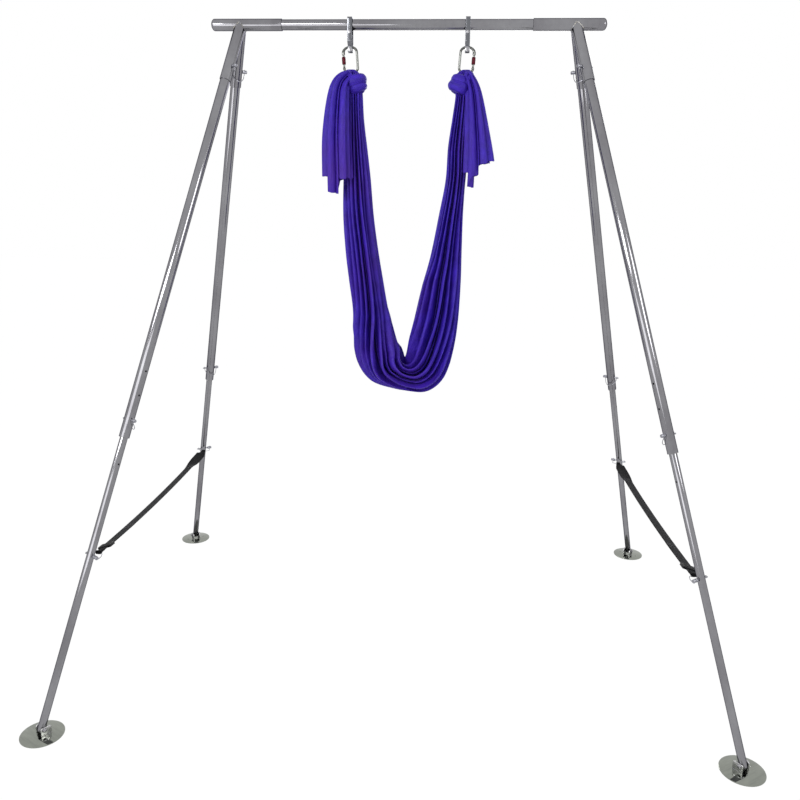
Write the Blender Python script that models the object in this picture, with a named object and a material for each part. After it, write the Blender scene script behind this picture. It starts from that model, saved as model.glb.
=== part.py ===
"""Aerial yoga frame: crossbar, two welded heads, four pinned two-part legs with swivelling feet,
two side straps, and a stretch-fabric hammock on strip hangers and screw-lock carabiners.

Metres, +Z up. The origin is on the floor at the middle of the frame, the crossbar lies along X,
and the front is at -Y. Side is -1 for left and 1 for right, end is -1 for front and 1 for rear.
"""

import math
from collections import namedtuple

import bmesh
import bpy
import numpy as np
from mathutils import Matrix, Vector

# Clearances
GAP = 0.0003                    # between touching pieces
EDGE = 0.0006                   # small chamfers

# Frame layout
BAR_HEIGHT = 2.900              # crossbar axis above the floor
HEAD_X = 0.733                  # where the leg axes meet the crossbar axis
FOOT_X = 1.405                  # foot bolt
FOOT_Y = 0.9875
FOOT_BOLT_HEIGHT = 0.030

# Crossbar and heads
BAR_DIAMETER = 0.044
BAR_WALL = 0.0025
SLEEVE_DIAMETER = 0.050
SLEEVE_START_X = 0.5485         # open end of the sleeve
SLEEVE_END_X = 0.8645           # top of the domed end
SLEEVE_DOME = 0.016
SLEEVE_END_WALL = 0.018
BAR_INSERT = 0.200              # length of crossbar inside each sleeve
SOCKET_DIAMETER = 0.050
SOCKET_END = 0.263              # all distances along a leg start at the crossbar axis
SOCKET_SEAT = 0.088

# Legs
UPPER_DIAMETER = 0.044
UPPER_WALL = 0.0020
UPPER_END = 1.879
LOWER_DIAMETER = 0.032
LOWER_WALL = 0.0025
LOWER_START = 1.500
LOWER_PAST_BOLT = 0.010
RING_LENGTH = 0.012             # guide rings welded inside the upper leg
RING_PITCH = 0.165
HEAD_PIN_AT = 0.196
MID_PIN_AT = 1.802
STRAP_PIN_AT = 2.387
UPPER_HOLES = (1.587, 1.693)    # free adjusting holes
LOWER_HOLES = (1.994,)

# Lock pins and their wire bails
PIN_DIAMETER = 0.008
PIN_HEAD_DIAMETER = 0.015
PIN_HEAD_LENGTH = 0.022
PIN_PAST_SOCKET = 0.015         # shank that shows past the widest tube
PIN_CHAMFER = 0.0015
BAIL_WIRE = 0.003
BAIL_STUB = 0.010               # wire through the head, each side of the pin's axis
BAIL_HOOK_INSET = 0.009         # from the pin's tip to the hook
BAIL_HOOK_SWEEP = math.radians(100)
BAIL_CLEARANCE = 0.0045         # between the widest tube and the bow's apex
HANGING_DROP = 0.036            # apex from the pin's axis, along the leg
PULLED_ROOM = 0.030             # room for the strap's eye between the lower leg and the wire
PULLED_DROP = 0.006
PIN_SHANK = SOCKET_DIAMETER + PIN_PAST_SOCKET
PIN_REACH = PIN_HEAD_LENGTH / 2 + PIN_SHANK      # head's middle to tip
BAIL_SPAN = PIN_REACH - BAIL_HOOK_INSET
HANGING_REACH = SOCKET_DIAMETER / 2 + BAIL_CLEARANCE + BAIL_WIRE / 2
PULLED_REACH = LOWER_DIAMETER / 2 + PULLED_ROOM

# Route of a bow, in shares of its reach, its span, and its drop from the wire at each end
BOW_BEND = (0.10, 0.02)
BOW_TO_APEX = ((0.62, 0.12, 0.5), (0.92, 0.30, 1.0), (1.00, 0.50, 1.0))
BOW_TO_TIP = ((0.92, 0.72, 0.8), (0.55, 0.93, 0.4))
BOW_END_DROP = 0.2

# Feet
PLATE_DIAMETER = 0.1735
PLATE_THICKNESS = 0.004
EAR_THICKNESS = 0.005
EAR_CLEARANCE = 0.0005          # between an ear and the leg
EAR_TOP = 0.040                 # above the floor
EAR_INNER = 0.030               # reach from the bolt towards the frame's middle
EAR_OUTER = 0.014
EAR_CORNER = 0.008
SCREW_HOLE_DIAMETER = 0.007
SCREW_HOLE_AT = 0.050           # from the bolt, along its axis
FOOT_BOLT_DIAMETER = 0.010

# Hangers
HANGER_X = {-1: -0.2465, 1: 0.268}
STRIP_WIDTH = 0.020
STRIP_THICKNESS = 0.0055
STRIP_CORNER = 0.005
CHEEK_CLEARANCE = 0.0025        # between the crossbar and each cheek
FORK_GAP = 0.016
JOGGLE_TOP = 0.070              # below the crossbar axis
JOGGLE_BOTTOM = 0.089
UPPER_BOLT_DROP = 0.035
UPPER_BOLT_DIAMETER = 0.008
LOWER_BOLT_DROP = 0.102
LOWER_BOLT_DIAMETER = 0.012
FORK_END_MARGIN = 0.011         # strip past the lower bolt's axis

# Bolt heads and nuts, in diameters of the shank
HEX_FLATS = 1.6
HEX_HEIGHT = 0.65
BOLT_TIP = 0.3                  # thread showing past a nut

# Carabiners
ROD_DIAMETER = 0.0103
CARABINER_WIDTH = 0.0703
CARABINER_TOP = 0.022           # rise of the top arch on the rod's centre line
CARABINER_BOTTOM = 0.020
CARABINER_SIDE = 0.0657         # straight side between the arches
CARABINER_TILT = math.radians(4)
NOSE_DIAMETER = 0.0136
NOSE_END = 0.0090               # down the gate side
NOSE_TAPER = 0.024
HINGE_DIAMETER = 0.0130
HINGE_AT = 0.0640
HINGE_TOP = 0.0605
SLOT_WIDTH = 0.0056
RIVET_DIAMETER = 0.0040
GATE_DIAMETER = 0.0088
GATE_TOP_CLEARANCE = 0.0008
GATE_SHOULDER = 0.0025          # between the gate's rod and the hinge cheeks
TONGUE_RADIUS = 0.0040
SLEEVE_NUT_DIAMETER = 0.0170
SLEEVE_NUT_START = 0.0166
SLEEVE_NUT_LENGTH = 0.0320

# Straps
WEBBING_WIDTH = 0.048
WEBBING_THICKNESS = 0.0028
EYE_WIDTH = 0.020
EYE_BORE = 0.0130
EYE_NECK = 0.0085               # from the eye to where the webbing starts to widen
STRAP_SAG = 0.020
STRAP_BENDS = 6                 # straight stretches that follow the sag between the two folds
REAR_STEPS = 5                  # rings where it turns to face the front
FRONT_ROLL = math.radians(18)   # the webbing's roll at the buckle, between its folds, and where
MIDDLE_ROLL = math.radians(27)  # it faces the front near its rear eye
REAR_ROLL = math.radians(-30)
REAR_TURN = 0.070               # length near the rear eye that faces the front
FRONT_FOLD = 0.335              # doubled length from each eye
REAR_FOLD = 0.290
BUCKLE_AT = 0.075               # from the front eye
BUCKLE_LENGTH = 0.042
BUCKLE_BAR = 0.005
BUCKLE_CLEARANCE = 0.0005

# Mesh fineness
TUBE_SIDES = 16
PIN_SIDES = 8
BOLT_SIDES = 12
WIRE_SIDES = 6
ROD_SIDES = 8
ARCH_STEPS = 8                  # points round each arch of a carabiner
PLATE_SIDES = 32

LEFT, RIGHT = -1, 1
FRONT, REAR = -1, 1
SIDES = {LEFT: "left", RIGHT: "right"}
ENDS = {FRONT: "front", REAR: "rear"}

# Colours: base colour, roughness, metallic
FINISHES = {
    "polished_steel": ((0.62, 0.62, 0.64), 0.10, 1.0),
    "zinc_steel": ((0.45, 0.45, 0.47), 0.30, 1.0),
    "red_anodised": ((0.16, 0.010, 0.020), 0.35, 0.6),
    "violet_fabric": ((0.052, 0.022, 0.32), 0.65, 0.0),
    "black_webbing": ((0.012, 0.012, 0.014), 0.70, 0.0),
    "black_plastic": ((0.020, 0.020, 0.022), 0.45, 0.0),
}

CARRIER_PLACES = {}             # world matrix of each object, by name

Leg = namedtuple("Leg", "name top down inward head foot lean length")


def leg_layout(side, end):
    """Axis, inward normal and pin direction of one leg."""
    top = Vector((side * HEAD_X, 0, BAR_HEIGHT))
    foot = Vector((side * FOOT_X, end * FOOT_Y, FOOT_BOLT_HEIGHT))
    down = (foot - top).normalized()
    lean = Vector((down.x, down.y, 0)).normalized()
    head = Vector((-side * abs(lean.y), end * abs(lean.x), 0))
    inward = head.cross(down)
    if inward.dot(lean) > 0:
        inward.negate()
    name = f"{ENDS[end]}_{SIDES[side]}"
    return Leg(name, top, down, inward, head, foot, lean, (foot - top).length)


LEGS = {(side, end): leg_layout(side, end) for end in ENDS for side in SIDES}
LEG_LENGTH = LEGS[LEFT, FRONT].length


# Scene and mesh helpers

def clear_scene():
    for item in list(bpy.data.objects):
        bpy.data.objects.remove(item, do_unlink=True)


def finish_material(finish):
    colour, roughness, metallic = FINISHES[finish]
    material = bpy.data.materials.get(finish) or bpy.data.materials.new(finish)
    material.use_nodes = True
    shader = material.node_tree.nodes["Principled BSDF"]
    shader.inputs["Base Color"].default_value = (*colour, 1)
    shader.inputs["Roughness"].default_value = roughness
    shader.inputs["Metallic"].default_value = metallic
    material.diffuse_color = (*colour, 1)
    return material


def as_mesh(bm, name, finish):
    """Turn a bmesh into a mesh with outward faces, smooth shading and its material."""
    bmesh.ops.remove_doubles(bm, verts=bm.verts, dist=1e-6)
    bmesh.ops.recalc_face_normals(bm, faces=bm.faces)
    mesh = bpy.data.meshes.new(name)
    bm.to_mesh(mesh)
    bm.free()
    mesh.shade_smooth()
    mesh.set_sharp_from_angle(angle=math.radians(35))
    mesh.materials.append(finish_material(finish))
    return mesh


def place(name, mesh, matrix=Matrix.Identity(4), carrier=None):
    """Add an object, or an empty where there is no mesh, carried by another where one is given."""
    item = bpy.data.objects.new(name, mesh)
    item.matrix_world = matrix
    if carrier:
        item.parent = carrier
        item.matrix_parent_inverse = CARRIER_PLACES[carrier.name].inverted()
    CARRIER_PLACES[item.name] = matrix
    bpy.context.scene.collection.objects.link(item)
    return item


def boolean(item, operation, bm, name, matrix=Matrix.Identity(4)):
    """Add a Boolean whose operand stays in the file as a wire guide."""
    label = f"{item.name}_{name}"
    guide = place(label, as_mesh(bm, label, "zinc_steel"), matrix, item)
    guide.hide_render = True
    guide.display_type = "WIRE"
    modifier = item.modifiers.new(name, "BOOLEAN")
    modifier.operation = operation
    modifier.solver = "EXACT"
    modifier.object = guide
    return guide


def axes_matrix(origin, x, y, z):
    return Matrix.Translation(origin) @ Matrix((x, y, z)).transposed().to_4x4()


def pointing_up(origin, z, x=Vector((1, 0, 0))):
    """Frame at origin whose Z is the given direction, with X as near as possible to x."""
    z = z.normalized()
    y = z.cross(x).normalized()
    return axes_matrix(origin, y.cross(z), y, z)


def turned(profile, sides):
    """Closed body turned about Z from a closed outline of (radius, z) points."""
    bm = bmesh.new()
    add_turned(bm, profile, sides)
    return bm


def add_turned(bm, profile, sides, matrix=Matrix.Identity(4)):
    rings = []
    for step in range(sides):
        turn = 2 * math.pi * (step + 0.5) / sides
        ring = []
        for radius, z in profile:
            point = Vector((radius * math.cos(turn), radius * math.sin(turn), z))
            ring.append(bm.verts.new(matrix @ point))
        rings.append(ring)
    count = len(profile)
    for ring, after in zip(rings, rings[1:] + rings[:1]):
        for low in range(count):
            high = (low + 1) % count
            if profile[low][0] == 0 and profile[high][0] == 0:
                continue
            bm.faces.new((ring[low], after[low], after[high], ring[high]))
    bmesh.ops.remove_doubles(bm, verts=bm.verts, dist=1e-6)
    bmesh.ops.dissolve_degenerate(bm, edges=bm.edges, dist=1e-7)


def hole_radius(diameter, sides):
    """Corner radius of a faceted hole whose flats clear a round bar of this diameter."""
    return (diameter / 2 + GAP) / math.cos(math.pi / sides)


def rod_profile(radius, start, end, chamfer=0.0):
    """Outline of a plain round bar along Z."""
    if chamfer:
        return [(0, start), (radius - chamfer, start), (radius, start + chamfer),
                (radius, end - chamfer), (radius - chamfer, end), (0, end)]
    return [(0, start), (radius, start), (radius, end), (0, end)]


def skinned(rings):
    """Closed body through rings of points, with a flat cap at each end."""
    bm = bmesh.new()
    add_skinned(bm, rings)
    return bm


def add_skinned(bm, rings):
    made = [[bm.verts.new(point) for point in ring] for ring in rings]
    for ring, after in zip(made, made[1:]):
        for low in range(len(ring)):
            high = (low + 1) % len(ring)
            bm.faces.new((ring[low], ring[high], after[high], after[low]))
    bm.faces.new(made[0])
    bm.faces.new(list(reversed(made[-1])))


def swept(points, radii, sides):
    """Round bar along a list of points, with a radius at each of them."""
    rings = []
    normal = None
    for index, point in enumerate(points):
        before = points[max(index - 1, 0)]
        after = points[min(index + 1, len(points) - 1)]
        tangent = (after - before).normalized()
        if normal is None:
            normal = tangent.orthogonal()
        normal = (normal - tangent * normal.dot(tangent)).normalized()
        across = tangent.cross(normal)
        ring = []
        for side in range(sides):
            turn = 2 * math.pi * (side + 0.5) / sides
            spoke = normal * math.cos(turn) + across * math.sin(turn)
            ring.append(point + spoke * radii[index])
        rings.append(ring)
    return rings


def prism(outline, low, high, to_point):
    """Closed body made by drawing a flat outline from low to high."""
    rings = [[to_point(a, b, depth) for a, b in outline] for depth in (low, high)]
    return skinned(rings)


def smooth_through(stations, steps):
    """Catmull-Rom curve through tuples of numbers, with steps points a stretch."""
    points = []
    last = len(stations) - 1
    for index in range(last):
        p0 = stations[max(index - 1, 0)]
        p1 = stations[index]
        p2 = stations[index + 1]
        p3 = stations[min(index + 2, last)]
        for step in range(steps):
            t = step / steps
            points.append(tuple(
                0.5 * (2 * b + (c - a) * t + (2 * a - 5 * b + 4 * c - d) * t * t
                       + (3 * b - a - 3 * c + d) * t ** 3)
                for a, b, c, d in zip(p0, p1, p2, p3)))
    points.append(tuple(stations[last]))
    return points


# Crossbar and heads

def build_crossbar():
    half = SLEEVE_START_X + BAR_INSERT
    outer = BAR_DIAMETER / 2
    inner = outer - BAR_WALL
    tube = turned([(inner, -half), (outer, -half), (outer, half), (inner, half)], TUBE_SIDES)
    place("crossbar_tube", as_mesh(tube, "crossbar_tube", "polished_steel"),
          pointing_up(Vector((0, 0, BAR_HEIGHT)), Vector((1, 0, 0)), Vector((0, 0, 1))))


def build_heads():
    """One mesh for both heads: the right one is the left one turned half round."""
    outer = SLEEVE_DIAMETER / 2
    bore = BAR_DIAMETER / 2 + GAP
    start = SLEEVE_START_X - HEAD_X
    end = SLEEVE_END_X - HEAD_X
    dome = [(outer * math.cos(turn), end - SLEEVE_DOME + SLEEVE_DOME * math.sin(turn))
            for turn in (math.radians(15 * step) for step in range(6))]
    along = Vector((-1, 0, 0))
    for side, name in SIDES.items():
        centre = Matrix.Translation((side * HEAD_X, 0, BAR_HEIGHT))
        turn = Matrix.Rotation(0 if side == LEFT else math.pi, 4, "Z")
        sleeve = pointing_up(Vector((0, 0, 0)), along, Vector((0, 0, 1)))
        body = turned([(0, start), (outer, start), *dome, (0, end)], TUBE_SIDES)
        body.transform(sleeve)
        head = place(f"{name}_head", as_mesh(body, f"{name}_head", "polished_steel"), centre @ turn)
        legs = [LEGS[LEFT, FRONT], LEGS[LEFT, REAR]]
        sockets = [pointing_up(Vector((0, 0, 0)), leg.down, leg.head) for leg in legs]
        for socket, label in zip(sockets, ("front_socket", "rear_socket")):
            solid = turned(rod_profile(SOCKET_DIAMETER / 2, 0, SOCKET_END), TUBE_SIDES)
            solid.transform(socket)
            boolean(head, "UNION", solid, label, centre @ turn)
        bores = turned(rod_profile(bore, start - BAR_WALL, end - SLEEVE_END_WALL), TUBE_SIDES)
        bores.transform(sleeve)
        pin_holes = bmesh.new()
        for socket, leg in zip(sockets, legs):
            seat = rod_profile(UPPER_DIAMETER / 2 + GAP, SOCKET_SEAT, SOCKET_END + UPPER_WALL)
            add_turned(bores, seat, TUBE_SIDES, socket)
            across = pointing_up(leg.down * HEAD_PIN_AT, leg.head, leg.down)
            hole = rod_profile(hole_radius(PIN_DIAMETER, PIN_SIDES), -SOCKET_DIAMETER, SOCKET_DIAMETER)
            add_turned(pin_holes, hole, PIN_SIDES, across)
        boolean(head, "DIFFERENCE", bores, "bores", centre @ turn)
        boolean(head, "DIFFERENCE", pin_holes, "pin_holes", centre @ turn)
        for modifier in head.modifiers:
            modifier.use_self = True


# Legs

def leg_matrix(leg):
    """Frame on the crossbar axis with X along the pins and Z up the leg."""
    return pointing_up(leg.top, -leg.down, leg.head)


def cross_holes(stations, diameter, reach, sides=PIN_SIDES):
    """Cutter of bars along X, for pins or bolts at distances down the leg."""
    cutter = bmesh.new()
    for station in stations:
        bar = pointing_up(Vector((0, 0, -station)), Vector((1, 0, 0)), Vector((0, 0, 1)))
        add_turned(cutter, rod_profile(hole_radius(diameter, sides), -reach, reach), sides, bar)
    return cutter


def build_upper_legs():
    outer = UPPER_DIAMETER / 2
    inner = outer - UPPER_WALL
    ring = LOWER_DIAMETER / 2 + GAP
    top = -(SOCKET_SEAT + GAP)
    end = -UPPER_END
    ring_top = end + RING_PITCH
    profile = [
        (outer, top), (inner, top), (inner, ring_top), (ring, ring_top), (ring, ring_top - RING_LENGTH),
        (inner, ring_top - RING_LENGTH), (inner, end + RING_LENGTH), (ring, end + RING_LENGTH),
        (ring, end), (outer, end)]
    mesh = as_mesh(turned(profile, TUBE_SIDES), "upper_leg", "polished_steel")
    stations = (HEAD_PIN_AT, *UPPER_HOLES, MID_PIN_AT)
    for leg in LEGS.values():
        tube = place(f"{leg.name}_upper_leg", mesh, leg_matrix(leg))
        holes = cross_holes(stations, PIN_DIAMETER, UPPER_DIAMETER)
        boolean(tube, "DIFFERENCE", holes, "holes", leg_matrix(leg))


def build_lower_legs():
    outer = LOWER_DIAMETER / 2
    inner = outer - LOWER_WALL
    end = -(LEG_LENGTH + LOWER_PAST_BOLT)
    profile = [(outer, -LOWER_START), (inner, -LOWER_START), (inner, end), (outer, end)]
    mesh = as_mesh(turned(profile, TUBE_SIDES), "lower_leg", "polished_steel")
    for leg in LEGS.values():
        tube = place(f"{leg.name}_lower_leg", mesh, leg_matrix(leg))
        holes = cross_holes((MID_PIN_AT, *LOWER_HOLES, STRAP_PIN_AT), PIN_DIAMETER, LOWER_DIAMETER)
        boolean(tube, "DIFFERENCE", holes, "pin_holes", leg_matrix(leg))
        bolt_hole = cross_holes((LEG_LENGTH,), FOOT_BOLT_DIAMETER, LOWER_DIAMETER, BOLT_SIDES)
        boolean(tube, "DIFFERENCE", bolt_hole, "bolt_hole", leg_matrix(leg))


# Lock pins and bails

def pin_mesh():
    """Pin along Y from the middle of its head, with a cross hole for the bail along Z."""
    head = PIN_HEAD_DIAMETER / 2
    shank = PIN_DIAMETER / 2
    half = PIN_HEAD_LENGTH / 2
    tip = PIN_REACH
    profile = [
        (0, -half), (head - PIN_CHAMFER, -half), (head, -half + PIN_CHAMFER), (head, half),
        (shank, half), (shank, tip - PIN_CHAMFER), (shank - PIN_CHAMFER, tip), (0, tip)]
    bm = turned(profile, PIN_SIDES)
    bm.transform(pointing_up(Vector((0, 0, 0)), Vector((0, 1, 0)), Vector((0, 0, 1))))
    return as_mesh(bm, "lock_pin", "zinc_steel")


def bail_points(reach, drop, handed):
    """Wire bow from a stub through the pin's head to a hook over the pin's tip.

    X is the bow's reach, Y runs from head to tip, and Z is down the leg times handed.
    """
    hook = PIN_DIAMETER / 2 + GAP + BAIL_WIRE / 2 + EDGE
    bend = BAIL_STUB + BAIL_WIRE
    end_drop = BOW_END_DROP * drop + EDGE
    points = [Vector((0, 0, -BAIL_STUB)), Vector((0, 0, BAIL_STUB)),
              Vector((BOW_BEND[0] * reach, BOW_BEND[1] * BAIL_SPAN, bend))]
    for low, shares in ((bend, BOW_TO_APEX), (end_drop, BOW_TO_TIP)):
        for out, along, down in shares:
            points.append(Vector((out * reach, along * BAIL_SPAN, low + down * (drop - low))))
    points.append(Vector((hook, BAIL_SPAN, end_drop)))
    steps = 3
    for step in range(1, steps + 1):
        turn = BAIL_HOOK_SWEEP * step / steps
        points.append(Vector((hook * math.cos(turn), BAIL_SPAN, -hook * math.sin(turn))))
    return [Vector((point.x, point.y, point.z * handed)) for point in points]


def bail_mesh(points):
    rings = swept(points, [BAIL_WIRE / 2] * len(points), WIRE_SIDES)
    return as_mesh(skinned(rings), "bail", "zinc_steel")


def pin_sets():
    """Name, station on the leg, head's middle from the leg's axis, and whether a strap pulls.

    A strap pin is longer than its leg is wide, and sits with as much of it on either side.
    """
    seat = GAP + PIN_HEAD_LENGTH / 2
    return [
        ("head_pin", HEAD_PIN_AT, SOCKET_DIAMETER / 2 + seat, False),
        ("mid_pin", MID_PIN_AT, UPPER_DIAMETER / 2 + seat, False),
        ("strap_pin", STRAP_PIN_AT, PIN_REACH / 2, True)]


def pin_matrix(leg, station, offset, pulled):
    """Frame at the middle of a pin's head: Y to the tip, X the way the bail reaches."""
    reach = -leg.lean if pulled else leg.inward
    to_tip = -leg.head
    origin = leg.top + leg.down * station + leg.head * offset
    return axes_matrix(origin, reach, to_tip, reach.cross(to_tip))


def bail_hand(matrix, leg):
    """1 where the pin frame's Z runs down the leg, -1 where it runs up."""
    return 1 if matrix.col[2].to_3d().dot(leg.down) > 0 else -1


def build_pins():
    pin = pin_mesh()
    bails = {}
    for leg in LEGS.values():
        for label, station, offset, pulled in pin_sets():
            matrix = pin_matrix(leg, station, offset, pulled)
            handed = bail_hand(matrix, leg)
            if (pulled, handed) not in bails:
                reach, drop = (PULLED_REACH, PULLED_DROP) if pulled else (HANGING_REACH, HANGING_DROP)
                bails[pulled, handed] = bail_mesh(bail_points(reach, drop, handed))
            item = place(f"{leg.name}_{label}", pin, matrix)
            hole = turned(rod_profile(hole_radius(BAIL_WIRE, WIRE_SIDES), -PIN_HEAD_DIAMETER,
                                      PIN_HEAD_DIAMETER), WIRE_SIDES)
            boolean(item, "DIFFERENCE", hole, "bail_hole", matrix)
            place(f"{leg.name}_{label}_bail", bails[pulled, handed], matrix)


# Bolts and feet

def bolt_mesh(diameter, grip):
    """Bolt along Y with its head at -Y and its nut run up to the grip at +Y."""
    flats = HEX_FLATS * diameter
    height = HEX_HEIGHT * diameter
    half = grip / 2 + GAP
    tip = half + height + BOLT_TIP * diameter
    bm = bmesh.new()
    corner = flats / math.sqrt(3)
    shank = diameter / 2
    rings = []
    for radius, y in ((corner, -half - height), (corner, -half), (shank, -half), (shank, half),
                      (corner, half), (corner, half + height), (shank, half + height), (shank, tip)):
        ring = []
        for step in range(BOLT_SIDES):
            turn = 2 * math.pi * step / BOLT_SIDES
            on_flat = radius == corner and step % 2
            reach = flats / 2 if on_flat else radius
            ring.append(Vector((reach * math.cos(turn), y, reach * math.sin(turn))))
        rings.append(ring)
    add_skinned(bm, rings)
    return as_mesh(bm, "bolt", "zinc_steel")


def foot_matrix(leg):
    """Frame on the foot bolt: X outwards along the lean, Y along the bolt, Z up."""
    up = Vector((0, 0, 1))
    return axes_matrix(leg.foot, leg.lean, up.cross(leg.lean), up)


def ear_outline():
    """Side view of a clevis ear in (lean, height above the bolt), corners rounded."""
    top = EAR_TOP - FOOT_BOLT_HEIGHT
    base = -FOOT_BOLT_HEIGHT + PLATE_THICKNESS / 2
    outline = [(-EAR_INNER, base), (EAR_OUTER, base)]
    for centre_x, first in ((EAR_OUTER - EAR_CORNER, 0), (-EAR_INNER + EAR_CORNER, 90)):
        for step in range(3):
            turn = math.radians(first + 45 * step)
            outline.append((centre_x + EAR_CORNER * math.cos(turn),
                            top - EAR_CORNER + EAR_CORNER * math.sin(turn)))
    return outline


def build_feet():
    radius = PLATE_DIAMETER / 2
    floor = -FOOT_BOLT_HEIGHT
    inner = LOWER_DIAMETER / 2 + EAR_CLEARANCE
    outer = inner + EAR_THICKNESS
    disc = turned(rod_profile(radius, floor, floor + PLATE_THICKNESS), PLATE_SIDES)
    plate_mesh = as_mesh(disc, "foot_plate", "polished_steel")
    foot_bolt = bolt_mesh(FOOT_BOLT_DIAMETER, 2 * outer)
    for leg in LEGS.values():
        matrix = foot_matrix(leg)
        plate = place(f"{leg.name}_foot_plate", plate_mesh, matrix)
        for flip, label in ((-1, "ear_a"), (1, "ear_b")):
            low, high = sorted((flip * inner, flip * outer))
            ear = prism(ear_outline(), low, high, lambda a, b, depth: Vector((a, depth, b)))
            boolean(plate, "UNION", ear, label, matrix)
        bolt_hole = bmesh.new()
        along = pointing_up(Vector((0, 0, 0)), Vector((0, 1, 0)), Vector((0, 0, 1)))
        bore = hole_radius(FOOT_BOLT_DIAMETER, BOLT_SIDES)
        add_turned(bolt_hole, rod_profile(bore, -2 * outer, 2 * outer), BOLT_SIDES, along)
        for flip in (-1, 1):
            screw = Matrix.Translation((0, flip * SCREW_HOLE_AT, 0))
            add_turned(bolt_hole, rod_profile(SCREW_HOLE_DIAMETER / 2, 2 * floor, floor / 2),
                       PIN_SIDES, screw)
        boolean(plate, "DIFFERENCE", bolt_hole, "holes", matrix)
        place(f"{leg.name}_foot_bolt", foot_bolt, matrix)


# Hangers

def bent_strip(centre_line, thickness, low, high):
    """Strip of even thickness along a flat line of (y, z) points, from low to high in X."""
    edges = ([], [])
    for index, (y, z) in enumerate(centre_line):
        before = Vector(centre_line[max(index - 1, 0)])
        here = Vector((y, z))
        after = Vector(centre_line[min(index + 1, len(centre_line) - 1)])
        into = (here - before).normalized() if index else (after - here).normalized()
        out = (after - here).normalized() if here != after else into
        normal = Vector((-into.y - out.y, into.x + out.x)).normalized()
        mitre = thickness / 2 / normal.dot(Vector((-into.y, into.x)))
        edges[0].append(here + normal * mitre)
        edges[1].append(here - normal * mitre)
    outline = edges[0] + list(reversed(edges[1]))
    return prism(outline, low, high, lambda a, b, depth: Vector((depth, a, b)))


def hanger_half_line():
    """Centre line of one half of the strip, from the fork's end to the middle of the top."""
    half = STRIP_THICKNESS / 2
    fork = FORK_GAP / 2 + half
    cheek = BAR_DIAMETER / 2 + CHEEK_CLEARANCE + half
    top = BAR_DIAMETER / 2 + GAP + half
    line = [(fork, -LOWER_BOLT_DROP - FORK_END_MARGIN), (fork, -JOGGLE_BOTTOM), (cheek, -JOGGLE_TOP)]
    for step in range(4):
        turn = math.radians(30 * step)
        line.append((cheek - STRIP_CORNER + STRIP_CORNER * math.cos(turn),
                     top - STRIP_CORNER + STRIP_CORNER * math.sin(turn)))
    return line


def swing_axis(side):
    """Empty on the crossbar's axis that carries what swings on one hanger."""
    name = f"{SIDES[side]}_suspension"
    return bpy.data.objects.get(name) or place(
        name, None, Matrix.Translation((HANGER_X[side], 0, BAR_HEIGHT)))


def build_hangers():
    half_line = hanger_half_line()
    line = half_line + [(-y, z) for y, z in reversed(half_line)]
    half_width = STRIP_WIDTH / 2
    mesh = as_mesh(bent_strip(line, STRIP_THICKNESS, -half_width, half_width), "hanger",
                   "polished_steel")
    cheek_grip = BAR_DIAMETER + 2 * (CHEEK_CLEARANCE + STRIP_THICKNESS)
    upper = bolt_mesh(UPPER_BOLT_DIAMETER, cheek_grip)
    lower = bolt_mesh(LOWER_BOLT_DIAMETER, FORK_GAP + 2 * STRIP_THICKNESS)
    for side, name in SIDES.items():
        matrix = Matrix.Translation((HANGER_X[side], 0, BAR_HEIGHT))
        hanger = place(f"{name}_hanger", mesh, matrix, swing_axis(side))
        holes = bmesh.new()
        for drop, diameter in ((UPPER_BOLT_DROP, UPPER_BOLT_DIAMETER),
                               (LOWER_BOLT_DROP, LOWER_BOLT_DIAMETER)):
            along = pointing_up(Vector((0, 0, -drop)), Vector((0, 1, 0)), Vector((0, 0, 1)))
            bore = hole_radius(diameter, BOLT_SIDES)
            add_turned(holes, rod_profile(bore, -cheek_grip, cheek_grip), BOLT_SIDES, along)
        boolean(hanger, "DIFFERENCE", holes, "bolt_holes", matrix)
        for label, bolt, drop in (("upper", upper, UPPER_BOLT_DROP), ("lower", lower, LOWER_BOLT_DROP)):
            place(f"{name}_hanger_{label}_bolt", bolt, matrix @ Matrix.Translation((0, 0, -drop)),
                  swing_axis(side))


# Carabiners

def carabiner_matrix(side):
    """Frame at the middle of the top arch: X to the spine, Z up the leaning carabiner."""
    half = (CARABINER_WIDTH - ROD_DIAMETER) / 2
    turn = math.atan(half / CARABINER_TOP * math.tan(CARABINER_TILT))
    to_spine = Vector((-side * math.cos(CARABINER_TILT), 0, math.sin(CARABINER_TILT)))
    up = Vector((side * math.sin(CARABINER_TILT), 0, math.cos(CARABINER_TILT)))
    bolt = Vector((HANGER_X[side], 0, BAR_HEIGHT - LOWER_BOLT_DROP))
    rest = bolt + Vector((0, 0, LOWER_BOLT_DIAMETER / 2 + GAP + ROD_DIAMETER / 2))
    contact = to_spine * half * math.sin(turn) + up * CARABINER_TOP * math.cos(turn)
    return axes_matrix(rest - contact, to_spine, up.cross(to_spine), up)


def carabiner_line():
    """Centre line of the body in (x, z) with the rod's radius at each point."""
    half = (CARABINER_WIDTH - ROD_DIAMETER) / 2
    rod = ROD_DIAMETER / 2
    nose = NOSE_DIAMETER / 2
    line = [(-half, -NOSE_END, nose), (-half, 0, nose)]
    for step in range(1, ARCH_STEPS + 1):
        turn = math.pi * step / ARCH_STEPS
        reach = NOSE_TAPER / half
        swell = max(0.0, 1 - turn / reach)
        line.append((-half * math.cos(turn), CARABINER_TOP * math.sin(turn), rod + (nose - rod) * swell))
    for step in range(ARCH_STEPS + 1):
        turn = math.pi * step / ARCH_STEPS
        line.append((half * math.cos(turn), -CARABINER_SIDE - CARABINER_BOTTOM * math.sin(turn), rod))
    line.append((-half, -HINGE_TOP, HINGE_DIAMETER / 2))
    return [(Vector((x, 0, z)), radius) for x, z, radius in line]


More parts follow.
